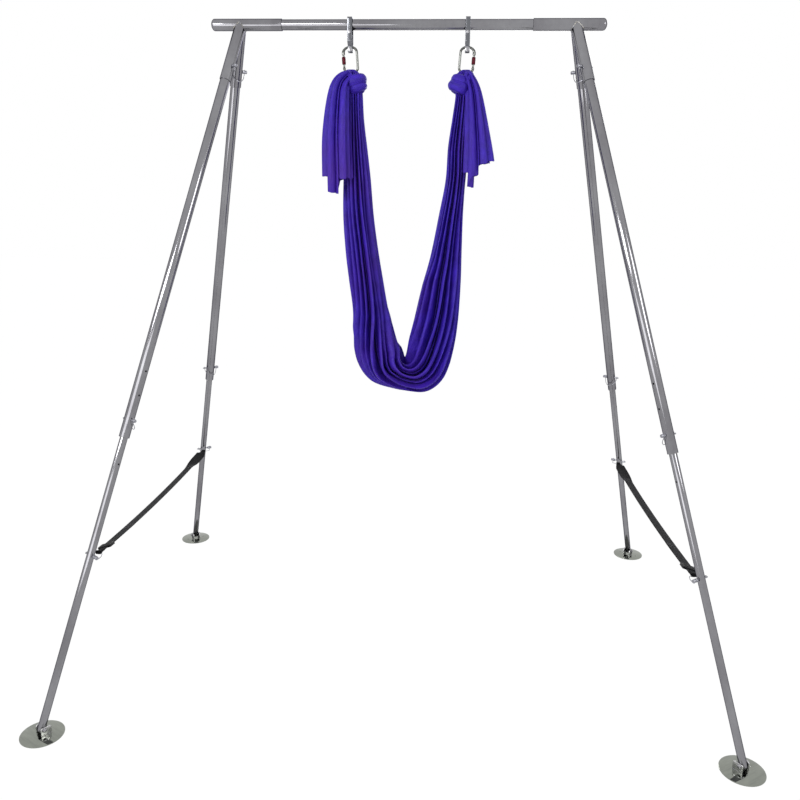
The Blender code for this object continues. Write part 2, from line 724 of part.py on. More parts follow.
def hinge_axis(half):
    return pointing_up(Vector((-half, 0, -HINGE_AT)), Vector((0, 1, 0)), Vector((0, 0, 1)))


def build_carabiners():
    half = (CARABINER_WIDTH - ROD_DIAMETER) / 2
    line = carabiner_line()
    for side, name in SIDES.items():
        matrix = carabiner_matrix(side)
        rings = swept([point for point, _ in line], [radius for _, radius in line], ROD_SIDES)
        body = place(f"{name}_carabiner", as_mesh(skinned(rings), "carabiner", "polished_steel"), matrix,
                     swing_axis(side))
        slot_low = -HINGE_AT - TONGUE_RADIUS - 2 * EDGE
        outline = [(-half - HINGE_DIAMETER, slot_low), (-half + HINGE_DIAMETER, slot_low),
                   (-half + HINGE_DIAMETER, -HINGE_TOP + EDGE), (-half - HINGE_DIAMETER, -HINGE_TOP + EDGE)]
        slot = prism(outline, -SLOT_WIDTH / 2, SLOT_WIDTH / 2, lambda a, b, depth: Vector((a, depth, b)))
        boolean(body, "DIFFERENCE", slot, "hinge_slot", matrix)
        rivet = turned(rod_profile(RIVET_DIAMETER / 2, -HINGE_DIAMETER / 2 + EDGE,
                                   HINGE_DIAMETER / 2 - EDGE), PIN_SIDES)
        rivet.transform(hinge_axis(half))
        boolean(body, "UNION", rivet, "rivet", matrix)
        gate = build_gate(body, name, matrix, half)
        build_screw_sleeve(gate, name, matrix, half)


def build_gate(body, name, matrix, half):
    """Gate with its origin on the rivet."""
    pivot = matrix @ Matrix.Translation((-half, 0, -HINGE_AT))
    shoulder = HINGE_AT - HINGE_TOP + GATE_SHOULDER
    tip = HINGE_AT - NOSE_END - GATE_TOP_CLEARANCE
    rod = turned(rod_profile(GATE_DIAMETER / 2, shoulder, tip, EDGE), PIN_SIDES)
    gate = place(f"{name}_gate", as_mesh(rod, "gate", "polished_steel"), pivot, body)
    outline = [(TONGUE_RADIUS * math.cos(turn), TONGUE_RADIUS * math.sin(turn))
               for turn in (math.radians(180 + 30 * step) for step in range(7))]
    outline += [(TONGUE_RADIUS, shoulder + 2 * EDGE), (-TONGUE_RADIUS, shoulder + 2 * EDGE)]
    thick = SLOT_WIDTH / 2 - GAP
    tongue = prism(outline, -thick, thick, lambda a, b, depth: Vector((a, depth, b)))
    boolean(gate, "UNION", tongue, "tongue", pivot)
    bore = hole_radius(RIVET_DIAMETER, PIN_SIDES)
    hole = turned(rod_profile(bore, -SLOT_WIDTH, SLOT_WIDTH), PIN_SIDES)
    hole.transform(pointing_up(Vector((0, 0, 0)), Vector((0, 1, 0)), Vector((0, 0, 1))))
    boolean(gate, "DIFFERENCE", hole, "rivet_hole", pivot)
    return gate


def build_screw_sleeve(gate, name, matrix, half):
    """Locking sleeve with its origin on the gate's axis."""
    inner = hole_radius(GATE_DIAMETER, PIN_SIDES)
    outer = SLEEVE_NUT_DIAMETER / 2
    edge = outer - inner
    top = SLEEVE_NUT_LENGTH / 2
    profile = [
        (inner, top), (inner, -top), (inner + edge / 3, -top), (outer, -top + edge), (outer, top - edge),
        (inner + edge / 3, top)]
    at = matrix @ Matrix.Translation((-half, 0, -SLEEVE_NUT_START - top))
    mesh = as_mesh(turned(profile, PIN_SIDES), "screw_sleeve", "red_anodised")
    place(f"{name}_screw_sleeve", mesh, at, gate)


# Hammock: one length of cloth, whose folds run along it

FOLDS = 5
POINTS_PER_FOLD = 4
FOLD_DEPTH = 0.20

# Middle of the gathered cloth: share of the way between the carabiners, drop below their bottoms;
# then half its breadth seen from the front, half its depth, and how much of the folds it shows
HAMMOCK_STATIONS = [
    (-0.004, -0.015, 0.016, 0.005, 0.0), (0.002, 0.001, 0.036, 0.021, 0.2),
    (0.012, 0.039, 0.060, 0.046, 0.6), (0.023, 0.082, 0.040, 0.036, 0.5),
    (0.031, 0.312, 0.058, 0.062, 1.0), (0.051, 0.502, 0.065, 0.074, 1.0),
    (0.126, 0.892, 0.079, 0.098, 1.0), (0.215, 1.172, 0.088, 0.120, 1.0),
    (0.340, 1.317, 0.088, 0.135, 1.0), (0.518, 1.363, 0.082, 0.140, 1.0),
    (0.689, 1.326, 0.096, 0.135, 1.0), (0.795, 1.192, 0.105, 0.125, 1.0),
    (0.865, 0.902, 0.084, 0.097, 1.0), (0.946, 0.496, 0.052, 0.074, 1.0),
    (0.978, 0.242, 0.044, 0.056, 1.0), (0.982, 0.092, 0.036, 0.036, 0.5),
    (0.984, 0.046, 0.056, 0.046, 0.6), (0.995, 0.001, 0.036, 0.021, 0.2),
    (1.003, -0.015, 0.016, 0.005, 0.0)]
HAMMOCK_STEPS = 2

# Middle of each loose end: outwards from its carabiner's bottom, y, drop below it; then half its
# breadth and half its thickness
TAIL_STATIONS = {
    LEFT: [(0.013, -0.012, 0.020, 0.022, 0.020), (0.053, -0.040, 0.077, 0.036, 0.026),
           (0.066, -0.078, 0.252, 0.056, 0.026), (0.064, -0.094, 0.432, 0.067, 0.020),
           (0.068, -0.096, 0.512, 0.034, 0.010)],
    RIGHT: [(0.011, -0.012, 0.020, 0.022, 0.020), (0.039, -0.036, 0.092, 0.034, 0.026),
            (0.059, -0.068, 0.242, 0.052, 0.026), (0.074, -0.080, 0.382, 0.066, 0.020),
            (0.053, -0.082, 0.472, 0.030, 0.010)]}
TAIL_POINTS = 10
TAIL_STEPS = 2


def folded_ring(centre, along, across, breadth, depth, folds):
    """Ring of a gathered cloth: an oval whose edge is drawn in between the folds."""
    count = FOLDS * POINTS_PER_FOLD
    ring = []
    for step in range(count):
        turn = 2 * math.pi * step / count
        crease = 1 - FOLD_DEPTH * folds * (1 - math.cos(FOLDS * turn)) / 2
        ring.append(centre + along * breadth * crease * math.cos(turn)
                    + across * depth * crease * math.sin(turn))
    return ring


def saddle(side):
    """Middle of the rod at the bottom of a carabiner, where the cloth hangs."""
    return carabiner_matrix(side) @ Vector((0, 0, -CARABINER_SIDE - CARABINER_BOTTOM))


def hammock_rings():
    """Rings square to the hammock's middle line, which lies in the XZ plane."""
    line = smooth_through(HAMMOCK_STATIONS, HAMMOCK_STEPS)
    left = saddle(LEFT)
    right = saddle(RIGHT)
    middles = [left.lerp(right, share) - Vector((0, 0, drop)) for share, drop, *_ in line]
    rings = []
    for index, (_, _, breadth, depth, folds) in enumerate(line):
        before = middles[max(index - 1, 0)]
        after = middles[min(index + 1, len(line) - 1)]
        tangent = (after - before).normalized()
        outwards = Vector((tangent.z, 0, -tangent.x))
        rings.append(folded_ring(middles[index], outwards, Vector((0, 1, 0)), breadth, depth, folds))
    return rings


def tail_rings(side):
    """Flat oval rings of one loose end, square to its middle line."""
    line = smooth_through(TAIL_STATIONS[side], TAIL_STEPS)
    knot = saddle(side)
    middles = [knot + Vector((side * out, y, -drop)) for out, y, drop, *_ in line]
    rings = []
    for index, (_, _, _, breadth, thickness) in enumerate(line):
        before = middles[max(index - 1, 0)]
        after = middles[min(index + 1, len(line) - 1)]
        tangent = (after - before).normalized()
        across = Vector((0, 1, 0))
        outwards = across.cross(tangent).normalized()
        across = tangent.cross(outwards)
        ring = []
        for step in range(TAIL_POINTS):
            turn = 2 * math.pi * step / TAIL_POINTS
            ring.append(middles[index] + outwards * breadth * math.cos(turn)
                        + across * thickness * math.sin(turn))
        rings.append(ring)
    return rings


def build_hammock():
    mesh = as_mesh(skinned(hammock_rings()), "hammock_cloth", "violet_fabric")
    cloth = place("hammock_cloth", mesh, carrier=swing_axis(LEFT))
    for side, name in SIDES.items():
        boolean(cloth, "UNION", skinned(tail_rings(side)), f"{name}_tail")
    line = carabiner_line()
    for side, name in SIDES.items():
        points = [point for point, _ in line]
        radii = [radius + 2 * GAP for _, radius in line]
        channel = skinned(swept(points, radii, ROD_SIDES))
        boolean(cloth, "DIFFERENCE", channel, f"{name}_channel", carabiner_matrix(side))


# Straps

def eye_centre(leg, end):
    """Middle of the strap's eye, whose wall bears on a pulled bow at the eye's two edges."""
    matrix = pin_matrix(leg, STRAP_PIN_AT, PIN_REACH / 2, True)
    wire = bail_points(PULLED_REACH, PULLED_DROP, bail_hand(matrix, leg))
    bow = sorted((matrix @ point for point in wire[2:-3]), key=lambda point: point.x)
    apex = min(bow, key=lambda point: abs(point.y))
    across = [point.x for point in bow]
    outwards = [end * point.y for point in bow]
    bearing = 0
    for edge in (apex.x - EYE_WIDTH / 2, apex.x + EYE_WIDTH / 2):
        before, here, after = np.interp((edge - GAP, edge, edge + GAP), across, outwards)
        slope = (after - before) / (2 * GAP)
        bearing = max(bearing, here + BAIL_WIRE / 2 * math.hypot(1, slope))
    flat = EYE_BORE / 2 * math.cos(math.pi / PIN_SIDES)
    return Vector((apex.x, end * (bearing + GAP - flat), apex.z))


def strap_ring(centre, width, thickness, roll, along):
    """Rectangle square to the strap, turned by its roll."""
    side = Vector((1, 0, 0))
    up = side.cross(along)
    wide = side * math.cos(roll) + up * math.sin(roll)
    thin = wide.cross(along)
    return [centre + wide * width / 2 * a + thin * thickness / 2 * b
            for a, b in ((1, 1), (-1, 1), (-1, -1), (1, -1))]


def build_straps():
    bore = EYE_BORE / 2
    wall = WEBBING_THICKNESS
    for side, name in SIDES.items():
        front = eye_centre(LEGS[side, FRONT], FRONT)
        rear = eye_centre(LEGS[side, REAR], REAR)
        span = rear.y - front.y
        bends = [0.0, *np.linspace(FRONT_FOLD + wall, span - REAR_FOLD - wall, STRAP_BENDS + 1), span]
        heights = [strap_height(front, rear, bend / span) for bend in bends]
        stations = [bore + wall / 2, bore + EYE_NECK, BUCKLE_AT - BUCKLE_LENGTH, BUCKLE_AT,
                    BUCKLE_AT + BUCKLE_LENGTH, FRONT_FOLD, *bends[1:-1],
                    *np.linspace(span - REAR_FOLD, span - 2 * REAR_TURN, REAR_STEPS), span - REAR_TURN,
                    span - bore - EYE_NECK, span - bore - wall / 2]
        turns = [bore + EYE_NECK, BUCKLE_AT - BUCKLE_LENGTH, BUCKLE_AT + BUCKLE_LENGTH, FRONT_FOLD,
                 span - REAR_FOLD, span - 2 * REAR_TURN, span - REAR_TURN, span - bore - EYE_NECK]
        rolls = [0, FRONT_ROLL, FRONT_ROLL, MIDDLE_ROLL, MIDDLE_ROLL, REAR_ROLL, REAR_ROLL, 0]
        rings = []
        for distance in stations:
            near = min(distance, span - distance)
            spread = min(1.0, max(0.0, (near - bore - wall) / WEBBING_WIDTH))
            width = EYE_WIDTH + (WEBBING_WIDTH - EYE_WIDTH) * spread
            doubled = distance <= FRONT_FOLD or distance >= span - REAR_FOLD
            thickness = 2 * wall if doubled else wall
            roll = -side * np.interp(distance, turns, rolls)
            centre = Vector((front.x, front.y + distance, np.interp(distance, bends, heights)))
            rings.append(strap_ring(centre, width, thickness, roll, Vector((0, 1, 0))))
        webbing = skinned(rings)
        bmesh.ops.triangulate(webbing, faces=webbing.faces)
        strap = place(f"{name}_strap", as_mesh(webbing, f"{name}_strap", "black_webbing"))
        for eye, label in ((front, "front_eye"), (rear, "rear_eye")):
            half = EYE_WIDTH / 2
            profile = [(bore, -half), (bore, half), (bore + wall, half), (bore + wall, -half)]
            ring = turned(profile, PIN_SIDES)
            ring.transform(pointing_up(eye, Vector((1, 0, 0)), Vector((0, 0, 1))))
            boolean(strap, "UNION", ring, label)
        build_buckle(name, front, (heights[1] - heights[0]) / bends[1], -side * FRONT_ROLL)


def strap_height(front, rear, share):
    """Height of the sagging strap at a share of the way from its front eye."""
    return front.z + (rear.z - front.z) * share - STRAP_SAG * 4 * share * (1 - share)


def build_buckle(name, front, slope, roll):
    """Flat frame round the doubled webbing, near the front eye."""
    half_width = WEBBING_WIDTH / 2 + BUCKLE_BAR + BUCKLE_CLEARANCE
    half_height = WEBBING_THICKNESS + BUCKLE_BAR / 2 + BUCKLE_CLEARANCE
    half_length = BUCKLE_LENGTH / 2
    tilt = Matrix.Rotation(math.atan(slope), 4, "X")
    at = Matrix.Translation((front.x, front.y + BUCKLE_AT, front.z + slope * BUCKLE_AT)) @ tilt
    at = at @ Matrix.Rotation(-roll, 4, "Y")
    outline = [(-half_width, -half_height), (half_width, -half_height), (half_width, half_height),
               (-half_width, half_height)]
    frame = prism(outline, -half_length, half_length, lambda a, b, depth: Vector((a, depth, b)))
    buckle = place(f"{name}_strap_buckle", as_mesh(frame, "buckle", "black_plastic"), at)
    inner_width = half_width - BUCKLE_BAR
    inner_height = half_height - BUCKLE_BAR / 2
    opening = [(-inner_width, -inner_height), (inner_width, -inner_height), (inner_width, inner_height),
               (-inner_width, inner_height)]
    cut = prism(opening, -2 * half_length, 2 * half_length, lambda a, b, depth: Vector((a, depth, b)))
    boolean(buckle, "DIFFERENCE", cut, "opening", at)


def main():
    clear_scene()
    build_crossbar()
    build_heads()
    build_upper_legs()
    build_lower_legs()
    build_pins()
    build_feet()
    build_hangers()
    build_carabiners()
    build_hammock()
    build_straps()


main()
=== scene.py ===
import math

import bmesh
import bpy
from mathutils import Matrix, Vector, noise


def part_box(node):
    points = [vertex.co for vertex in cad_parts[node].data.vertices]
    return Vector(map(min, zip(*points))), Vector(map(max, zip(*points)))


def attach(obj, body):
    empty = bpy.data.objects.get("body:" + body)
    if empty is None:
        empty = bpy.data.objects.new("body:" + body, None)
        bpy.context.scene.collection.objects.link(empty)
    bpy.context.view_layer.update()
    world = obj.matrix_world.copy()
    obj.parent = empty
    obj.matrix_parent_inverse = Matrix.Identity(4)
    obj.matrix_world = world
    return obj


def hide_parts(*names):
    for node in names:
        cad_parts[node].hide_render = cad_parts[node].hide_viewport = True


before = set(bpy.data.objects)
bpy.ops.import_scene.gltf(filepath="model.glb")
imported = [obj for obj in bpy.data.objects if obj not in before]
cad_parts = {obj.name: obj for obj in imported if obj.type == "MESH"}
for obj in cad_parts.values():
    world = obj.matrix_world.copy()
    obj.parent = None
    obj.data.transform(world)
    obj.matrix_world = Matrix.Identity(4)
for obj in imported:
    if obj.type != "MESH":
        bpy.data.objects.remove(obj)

# Looks of the aerial yoga frame. Metres, +Z up, crossbar along X, front at -Y.
# side is -1 for left and 1 for right, end is -1 for front and 1 for rear.
# The metal and plastic pieces are made in frames of their own and then put in their places; the
# hammock and the straps are made where they hang.

scene = bpy.context.scene
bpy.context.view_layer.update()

# Sizes of the part, as its source names them

BAR_HEIGHT = 2.900
HEAD_X = 0.733
FOOT_X, FOOT_Y, FOOT_BOLT_HEIGHT = 1.405, 0.9875, 0.030
BAR_DIAMETER, BAR_WALL = 0.044, 0.0025
SLEEVE_DIAMETER = 0.050
SLEEVE_START_X, SLEEVE_END_X, SLEEVE_DOME, SLEEVE_END_WALL = 0.5485, 0.8645, 0.016, 0.018
BAR_INSERT = 0.200
SOCKET_DIAMETER, SOCKET_END, SOCKET_SEAT = 0.050, 0.263, 0.088
UPPER_DIAMETER, UPPER_WALL, UPPER_END = 0.044, 0.0020, 1.879
LOWER_DIAMETER, LOWER_WALL, LOWER_START, LOWER_PAST_BOLT = 0.032, 0.0025, 1.500, 0.010
RING_LENGTH = 0.012
HEAD_PIN_AT, MID_PIN_AT, STRAP_PIN_AT = 0.196, 1.802, 2.387
UPPER_HOLES = (HEAD_PIN_AT, 1.587, 1.693, MID_PIN_AT)
LOWER_HOLES = (MID_PIN_AT, 1.994, STRAP_PIN_AT)
PIN_DIAMETER, PIN_HEAD_DIAMETER, PIN_HEAD_LENGTH = 0.008, 0.015, 0.022
PIN_REACH = PIN_HEAD_LENGTH / 2 + SOCKET_DIAMETER + 0.015
BAIL_WIRE, BAIL_SPAN = 0.003, PIN_REACH - 0.009
PLATE_DIAMETER, PLATE_THICKNESS = 0.1735, 0.004
EAR_THICKNESS, EAR_CLEARANCE, EAR_TOP = 0.005, 0.0005, 0.040
EAR_INNER, EAR_OUTER, EAR_CORNER = 0.030, 0.014, 0.008
SCREW_HOLE_DIAMETER, SCREW_HOLE_AT = 0.007, 0.050
FOOT_BOLT_DIAMETER = 0.010
HANGER_X = {-1: -0.2465, 1: 0.268}
STRIP_WIDTH, STRIP_THICKNESS, STRIP_CORNER = 0.020, 0.0055, 0.005
CHEEK_CLEARANCE, FORK_GAP = 0.0025, 0.016
JOGGLE_TOP, JOGGLE_BOTTOM = 0.070, 0.089
UPPER_BOLT_DROP, UPPER_BOLT_DIAMETER = 0.035, 0.008
LOWER_BOLT_DROP, LOWER_BOLT_DIAMETER = 0.102, 0.012
FORK_END_MARGIN = 0.011
HEX_FLATS, HEX_HEIGHT, BOLT_TIP = 1.6, 0.65, 0.3
ROD_DIAMETER, CARABINER_WIDTH = 0.0103, 0.0703
CARABINER_TOP, CARABINER_BOTTOM, CARABINER_SIDE = 0.022, 0.020, 0.0657
CARABINER_TILT = math.radians(4)
NOSE_DIAMETER, NOSE_END, NOSE_TAPER = 0.0136, 0.0090, 0.024
HINGE_DIAMETER, HINGE_AT, HINGE_TOP = 0.0130, 0.0640, 0.0605
SLOT_WIDTH, RIVET_DIAMETER, GATE_DIAMETER = 0.0056, 0.0040, 0.0088
NUT_DIAMETER, NUT_START, NUT_LENGTH = 0.0170, 0.0166, 0.0320
WEBBING_WIDTH, WEBBING_THICKNESS = 0.048, 0.0028
EYE_WIDTH, EYE_BORE = 0.020, 0.0130
STRAP_SAG, REAR_TURN, EYE_NECK = 0.020, 0.070, 0.0085
FRONT_ROLL, REAR_ROLL = math.radians(18), math.radians(-30)
FRONT_FOLD, REAR_FOLD = 0.335, 0.290
BUCKLE_AT, BUCKLE_LENGTH, BUCKLE_BAR = 0.075, 0.042, 0.005
GAP = 0.0003

# Sizes of the looks alone: roundings, faces round a tube, the turn at which a carabiner's rod swells for
# its hinge, the roll of the webbing's middle, which lies flatter than in the source, the straps' run
# between their eyes, their seams, the buckles' windows, and the reach and drop of the pins' bows

EDGE = 0.0006
LIP = 0.0007
SMOOTH = 96
HINGE_SWELL = 2.75
MIDDLE_ROLL = math.radians(17)
STRAP_RUN = 1.435
STRAP_STEP, PAST_EYE = 0.007, 0.006
SEAM_NEAR, SEAM_FAR, SEAM_WIDTH, THREAD_RADIUS = 0.008, 0.050, 0.038, 0.00045
WINDOW_LENGTH, WINDOW_AT, WINDOW_FACE, WINDOW_DEPTH = 0.0105, 0.0088, 0.0045, 0.004
PIN_HOLE = PIN_DIAMETER + 2 * GAP
HANGING_BOW = (SOCKET_DIAMETER / 2 + 0.0045 + BAIL_WIRE / 2, 0.036)
PULLED_BOW = (LOWER_DIAMETER / 2 + 0.030, 0.006)

LEFT, RIGHT, FRONT, REAR = -1, 1, -1, 1
SIDES = {LEFT: "left", RIGHT: "right"}
ENDS = {FRONT: "front", REAR: "rear"}
X, Y, Z = Vector((1, 0, 0)), Vector((0, 1, 0)), Vector((0, 0, 1))
UNTURNED = Matrix.Identity(4)
Z_ALONG_Y = Matrix.Rotation(math.radians(-90), 4, "X")


# Places

def axes_matrix(origin, x, y, z):
    return Matrix.Translation(origin) @ Matrix((x, y, z)).transposed().to_4x4()


def pointing_up(origin, z, x):
    """Frame at origin whose Z is the given direction, with X as near as possible to x."""
    z = z.normalized()
    y = z.cross(x).normalized()
    return axes_matrix(origin, y.cross(z), y, z)


class Leg:
    """Axis, inward normal and pin direction of one leg, as the part's source works them out."""

    def __init__(self, side, end):
        self.name = f"{ENDS[end]}_{SIDES[side]}"
        self.top = Vector((side * HEAD_X, 0, BAR_HEIGHT))
        self.foot = Vector((side * FOOT_X, end * FOOT_Y, FOOT_BOLT_HEIGHT))
        self.down = (self.foot - self.top).normalized()
        self.lean = Vector((self.down.x, self.down.y, 0)).normalized()
        self.head = Vector((-side * abs(self.lean.y), end * abs(self.lean.x), 0))
        self.inward = self.head.cross(self.down)
        if self.inward.dot(self.lean) > 0:
            self.inward.negate()
        self.length = (self.foot - self.top).length
        self.matrix = pointing_up(self.top, -self.down, self.head)


LEGS = {(side, end): Leg(side, end) for end in ENDS for side in SIDES}


# Finishes

def finish(name, base, rough, metal=0.0, **sockets):
    """New material with the values that are the same all over it on the shader's own sockets."""
    material = bpy.data.materials.new(name)
    material.use_nodes = True
    tree = material.node_tree
    shader = tree.nodes["Principled BSDF"]
    shader.inputs["Base Color"].default_value = (*base, 1)
    shader.inputs["Roughness"].default_value = rough
    shader.inputs["Metallic"].default_value = metal
    for socket, value in sockets.items():
        shader.inputs[socket.replace("_", " ")].default_value = value
    return material, tree, shader


def node(tree, kind, inputs=(), **settings):
    made = tree.nodes.new(kind)
    for setting, value in settings.items():
        setattr(made, setting, value)
    for socket, value in dict(inputs).items():
        if isinstance(value, bpy.types.NodeSocket):
            tree.links.new(value, made.inputs[socket])
        else:
            made.inputs[socket].default_value = value
    return made


def maker_frame(tree, scale=(1, 1, 1)):
    """Place on the piece in the frame it was made in, Z along its length, stretched by scale."""
    read = node(tree, "ShaderNodeAttribute", attribute_name="maker_frame")
    return node(tree, "ShaderNodeMapping", {"Vector": read.outputs["Vector"], "Scale": scale}).outputs[0]


def cloth_frame(tree, scale=(1, 1, 1)):
    """Metres across and along the cloth, stretched by scale."""
    read = node(tree, "ShaderNodeUVMap", uv_map="cloth")
    return node(tree, "ShaderNodeMapping", {"Vector": read.outputs["UV"], "Scale": scale}).outputs[0]


def noise_value(tree, vector, scale, detail, rough=0.55):
    return node(tree, "ShaderNodeTexNoise", {"Vector": vector, "Scale": scale, "Detail": detail,
                                             "Roughness": rough}).outputs["Fac"]


def waves(tree, vector, scale, distortion=0.0, detail=2.0, **settings):
    return node(tree, "ShaderNodeTexWave", {"Vector": vector, "Scale": scale, "Distortion": distortion,
                                            "Detail": detail}, **settings).outputs["Fac"]


def spread(tree, value, low, high, to_low=0, to_high=1):
    return node(tree, "ShaderNodeMapRange", {"Value": value, "From Min": low, "From Max": high,
                                             "To Min": to_low, "To Max": to_high}).outputs["Result"]


def blend_colours(tree, factor, a, b):
    made = node(tree, "ShaderNodeMix", {"Factor": factor}, data_type="RGBA")
    for socket, colour in ((made.inputs[6], a), (made.inputs[7], b)):
        if isinstance(colour, bpy.types.NodeSocket):
            tree.links.new(colour, socket)
        else:
            socket.default_value = (*colour, 1)
    return made.outputs[2]


def coat(tree, shader, factor, first, second, rough=None):
    """Colour between two by a factor, and roughness where it isn't the same all over."""
    tree.links.new(blend_colours(tree, factor, first, second), shader.inputs["Base Color"])
    if rough:
        tree.links.new(rough, shader.inputs["Roughness"])


def bump(tree, shader, height, strength, distance, under=None):
    inputs = {"Height": height, "Strength": strength, "Distance": distance}
    if under:
        inputs["Normal"] = under
    made = node(tree, "ShaderNodeBump", inputs)
    tree.links.new(made.outputs["Normal"], shader.inputs["Normal"])
    return made.outputs["Normal"]


def add(tree, a, b, by):
    """a plus by times b."""
    return node(tree, "ShaderNodeMath", {0: b, 1: by, 2: a}, operation="MULTIPLY_ADD").outputs[0]


def polished_steel(name, light, dark, low, high, lines=900.0):
    """Polished metal: fine lengthwise polishing lines, faint cloudy stains and rubbed patches."""
    material, tree, shader = finish(name, light, low, 1.0, Specular_Tint=(0.15, 0.15, 0.17, 1))
    streaks = noise_value(tree, maker_frame(tree, (1, 1, 0.012)), lines, 2)
    clouds = noise_value(tree, maker_frame(tree, (1, 1, 0.35)), 9.0, 4)
    rubs = noise_value(tree, maker_frame(tree), 46.0, 5, 0.7)
    coat(tree, shader, spread(tree, add(tree, clouds, rubs, 0.35), 0.45, 0.95), light, dark,
         add(tree, spread(tree, rubs, 0.35, 0.75, low, high), streaks, 0.03))
    bump(tree, shader, streaks, 0.06, 0.0002)
    return material


def weld_metal():
    """Ground-back weld: rippled, a little matt, with straw and blue heat tints."""
    material, tree, shader = finish("weld_metal", (0.36, 0.35, 0.34), 0.3, 1.0)
    at = maker_frame(tree)
    grain = noise_value(tree, at, 900.0, 4)
    coat(tree, shader, spread(tree, noise_value(tree, at, 70.0, 3), 0.35, 0.65), (0.30, 0.285, 0.25),
         (0.25, 0.26, 0.29), spread(tree, grain, 0.3, 0.7, 0.20, 0.42))
    bump(tree, shader, grain, 0.25, 0.0003)
    return material


def mirror_steel():
    """Polished disc: rings from its turning, faint wipes and matt scuffs."""
    material, tree, shader = finish("mirror_steel", (0.29, 0.305, 0.27), 0.04, 1.0)
    rings = waves(tree, maker_frame(tree), 700.0, 0.4, wave_type="RINGS", rings_direction="Z")
    scuffs = noise_value(tree, maker_frame(tree, (1, 0.15, 1)), 60.0, 5, 0.7)
    coat(tree, shader, spread(tree, scuffs, 0.3, 0.8), (0.29, 0.305, 0.27), (0.20, 0.21, 0.19),
         add(tree, spread(tree, scuffs, 0.45, 0.8, 0.035, 0.16), rings, 0.012))
    bump(tree, shader, rings, 0.02, 0.0001)
    return material


def zinc_plate(name, colour, tint):
    """Bright zinc plate: mottled crystals, tool marks round the axis and dull handling patches."""
    material, tree, shader = finish(name, colour, 0.3, 1.0)
    at = maker_frame(tree)
    crystals = node(tree, "ShaderNodeTexVoronoi", {"Vector": at, "Scale": 700.0}).outputs["Distance"]
    patches = noise_value(tree, at, 160.0, 4)
    mixed = blend_colours(tree, spread(tree, patches, 0.3, 0.7), colour, tint)
    coat(tree, shader, spread(tree, crystals, 0, 1, 0, 0.35), mixed, (0.62, 0.63, 0.66),
         spread(tree, patches, 0.3, 0.75, 0.18, 0.42))
    bump(tree, shader, noise_value(tree, maker_frame(tree, (0.05, 0.05, 1)), 3200.0, 2), 0.15, 0.0002)
    return material


def red_anodised():
    """Dark red anodised sleeve with a diamond knurl that is rubbed bright on its points."""
    material, tree, shader = finish("red_anodised", (0.07, 0.005, 0.011), 0.32, 0.82)
    knurl = 1.0
    for turn in (math.radians(32), math.radians(-32)):
        lines = node(tree, "ShaderNodeMapping", {"Vector": cloth_frame(tree), "Rotation": (0, 0, turn)})
        knurl = node(tree, "ShaderNodeMath", {0: knurl, 1: waves(tree, lines.outputs[0], 260.0)},
                     operation="MULTIPLY").outputs[0]
    worn = noise_value(tree, maker_frame(tree), 260.0, 4)
    coat(tree, shader, spread(tree, add(tree, knurl, worn, 0.6), 0.75, 1.25, 0, 0.55),
         (0.060, 0.004, 0.010), (0.20, 0.022, 0.034), spread(tree, worn, 0.3, 0.7, 0.26, 0.45))
    bump(tree, shader, knurl, 0.6, 0.0004)
    return material


def stretch_knit():
    """Violet two-way stretch knit: fine wales along the cloth, small crumples and a soft satin sheen.
    Its colour is painted darker and lighter with the small crumples, as shade and light on them.
    Where it hangs slack, low down, it is more wrinkled."""
    material, tree, shader = finish("stretch_knit", (0.035, 0.010, 0.36), 0.5, Sheen_Weight=0.10,
                                    Sheen_Roughness=0.35, Sheen_Tint=(0.30, 0.20, 1.0, 1),
                                    Specular_IOR_Level=0.22)
    creases = noise_value(tree, cloth_frame(tree, (1, 0.12, 1)), 55.0, 5, 0.6)
    crumples = noise_value(tree, cloth_frame(tree, (1, 0.5, 1)), 26.0, 5, 0.62)
    wales = waves(tree, cloth_frame(tree), 420.0, 0.6, 1.0)
    courses = waves(tree, cloth_frame(tree), 300.0, 0.6, 1.0, bands_direction="Y")
    knit = add(tree, wales, courses, 0.6)
    # Painted shade and light: the colour is darker in the hollows of the small crumples and lighter on their
    # tops, following the same noise that bumps them
    shade = spread(tree, crumples, 0.32, 0.68)
    painted_crumple_shade = blend_colours(tree, shade, (0.021, 0.006, 0.215), (0.047, 0.017, 0.42))
    fade = spread(tree, noise_value(tree, maker_frame(tree), 2.6, 3), 0.45, 0.70, 0, 0.6)
    faded_painted_shade = blend_colours(tree, fade, painted_crumple_shade, (0.056, 0.010, 0.225))
    coat(tree, shader, spread(tree, knit, 0.2, 1.4, 0, 0.18), faded_painted_shade, (0.064, 0.030, 0.52),
         spread(tree, add(tree, creases, knit, 0.12), 0.35, 0.85, 0.42, 0.62))
    height = node(tree, "ShaderNodeSeparateXYZ", {"Vector": maker_frame(tree)}).outputs["Z"]
    slack = spread(tree, height, 1.35, 1.85, 0.55, 0.10)
    wrinkles = noise_value(tree, maker_frame(tree, (1, 1, 0.5)), 24.0, 4, 0.5)
    folds = bump(tree, shader, add(tree, crumples, creases, 0.5), 0.45, 0.006)
    folds = bump(tree, shader, wrinkles, slack, 0.030, folds)
    bump(tree, shader, knit, 0.25, 0.0004, folds)
    return material


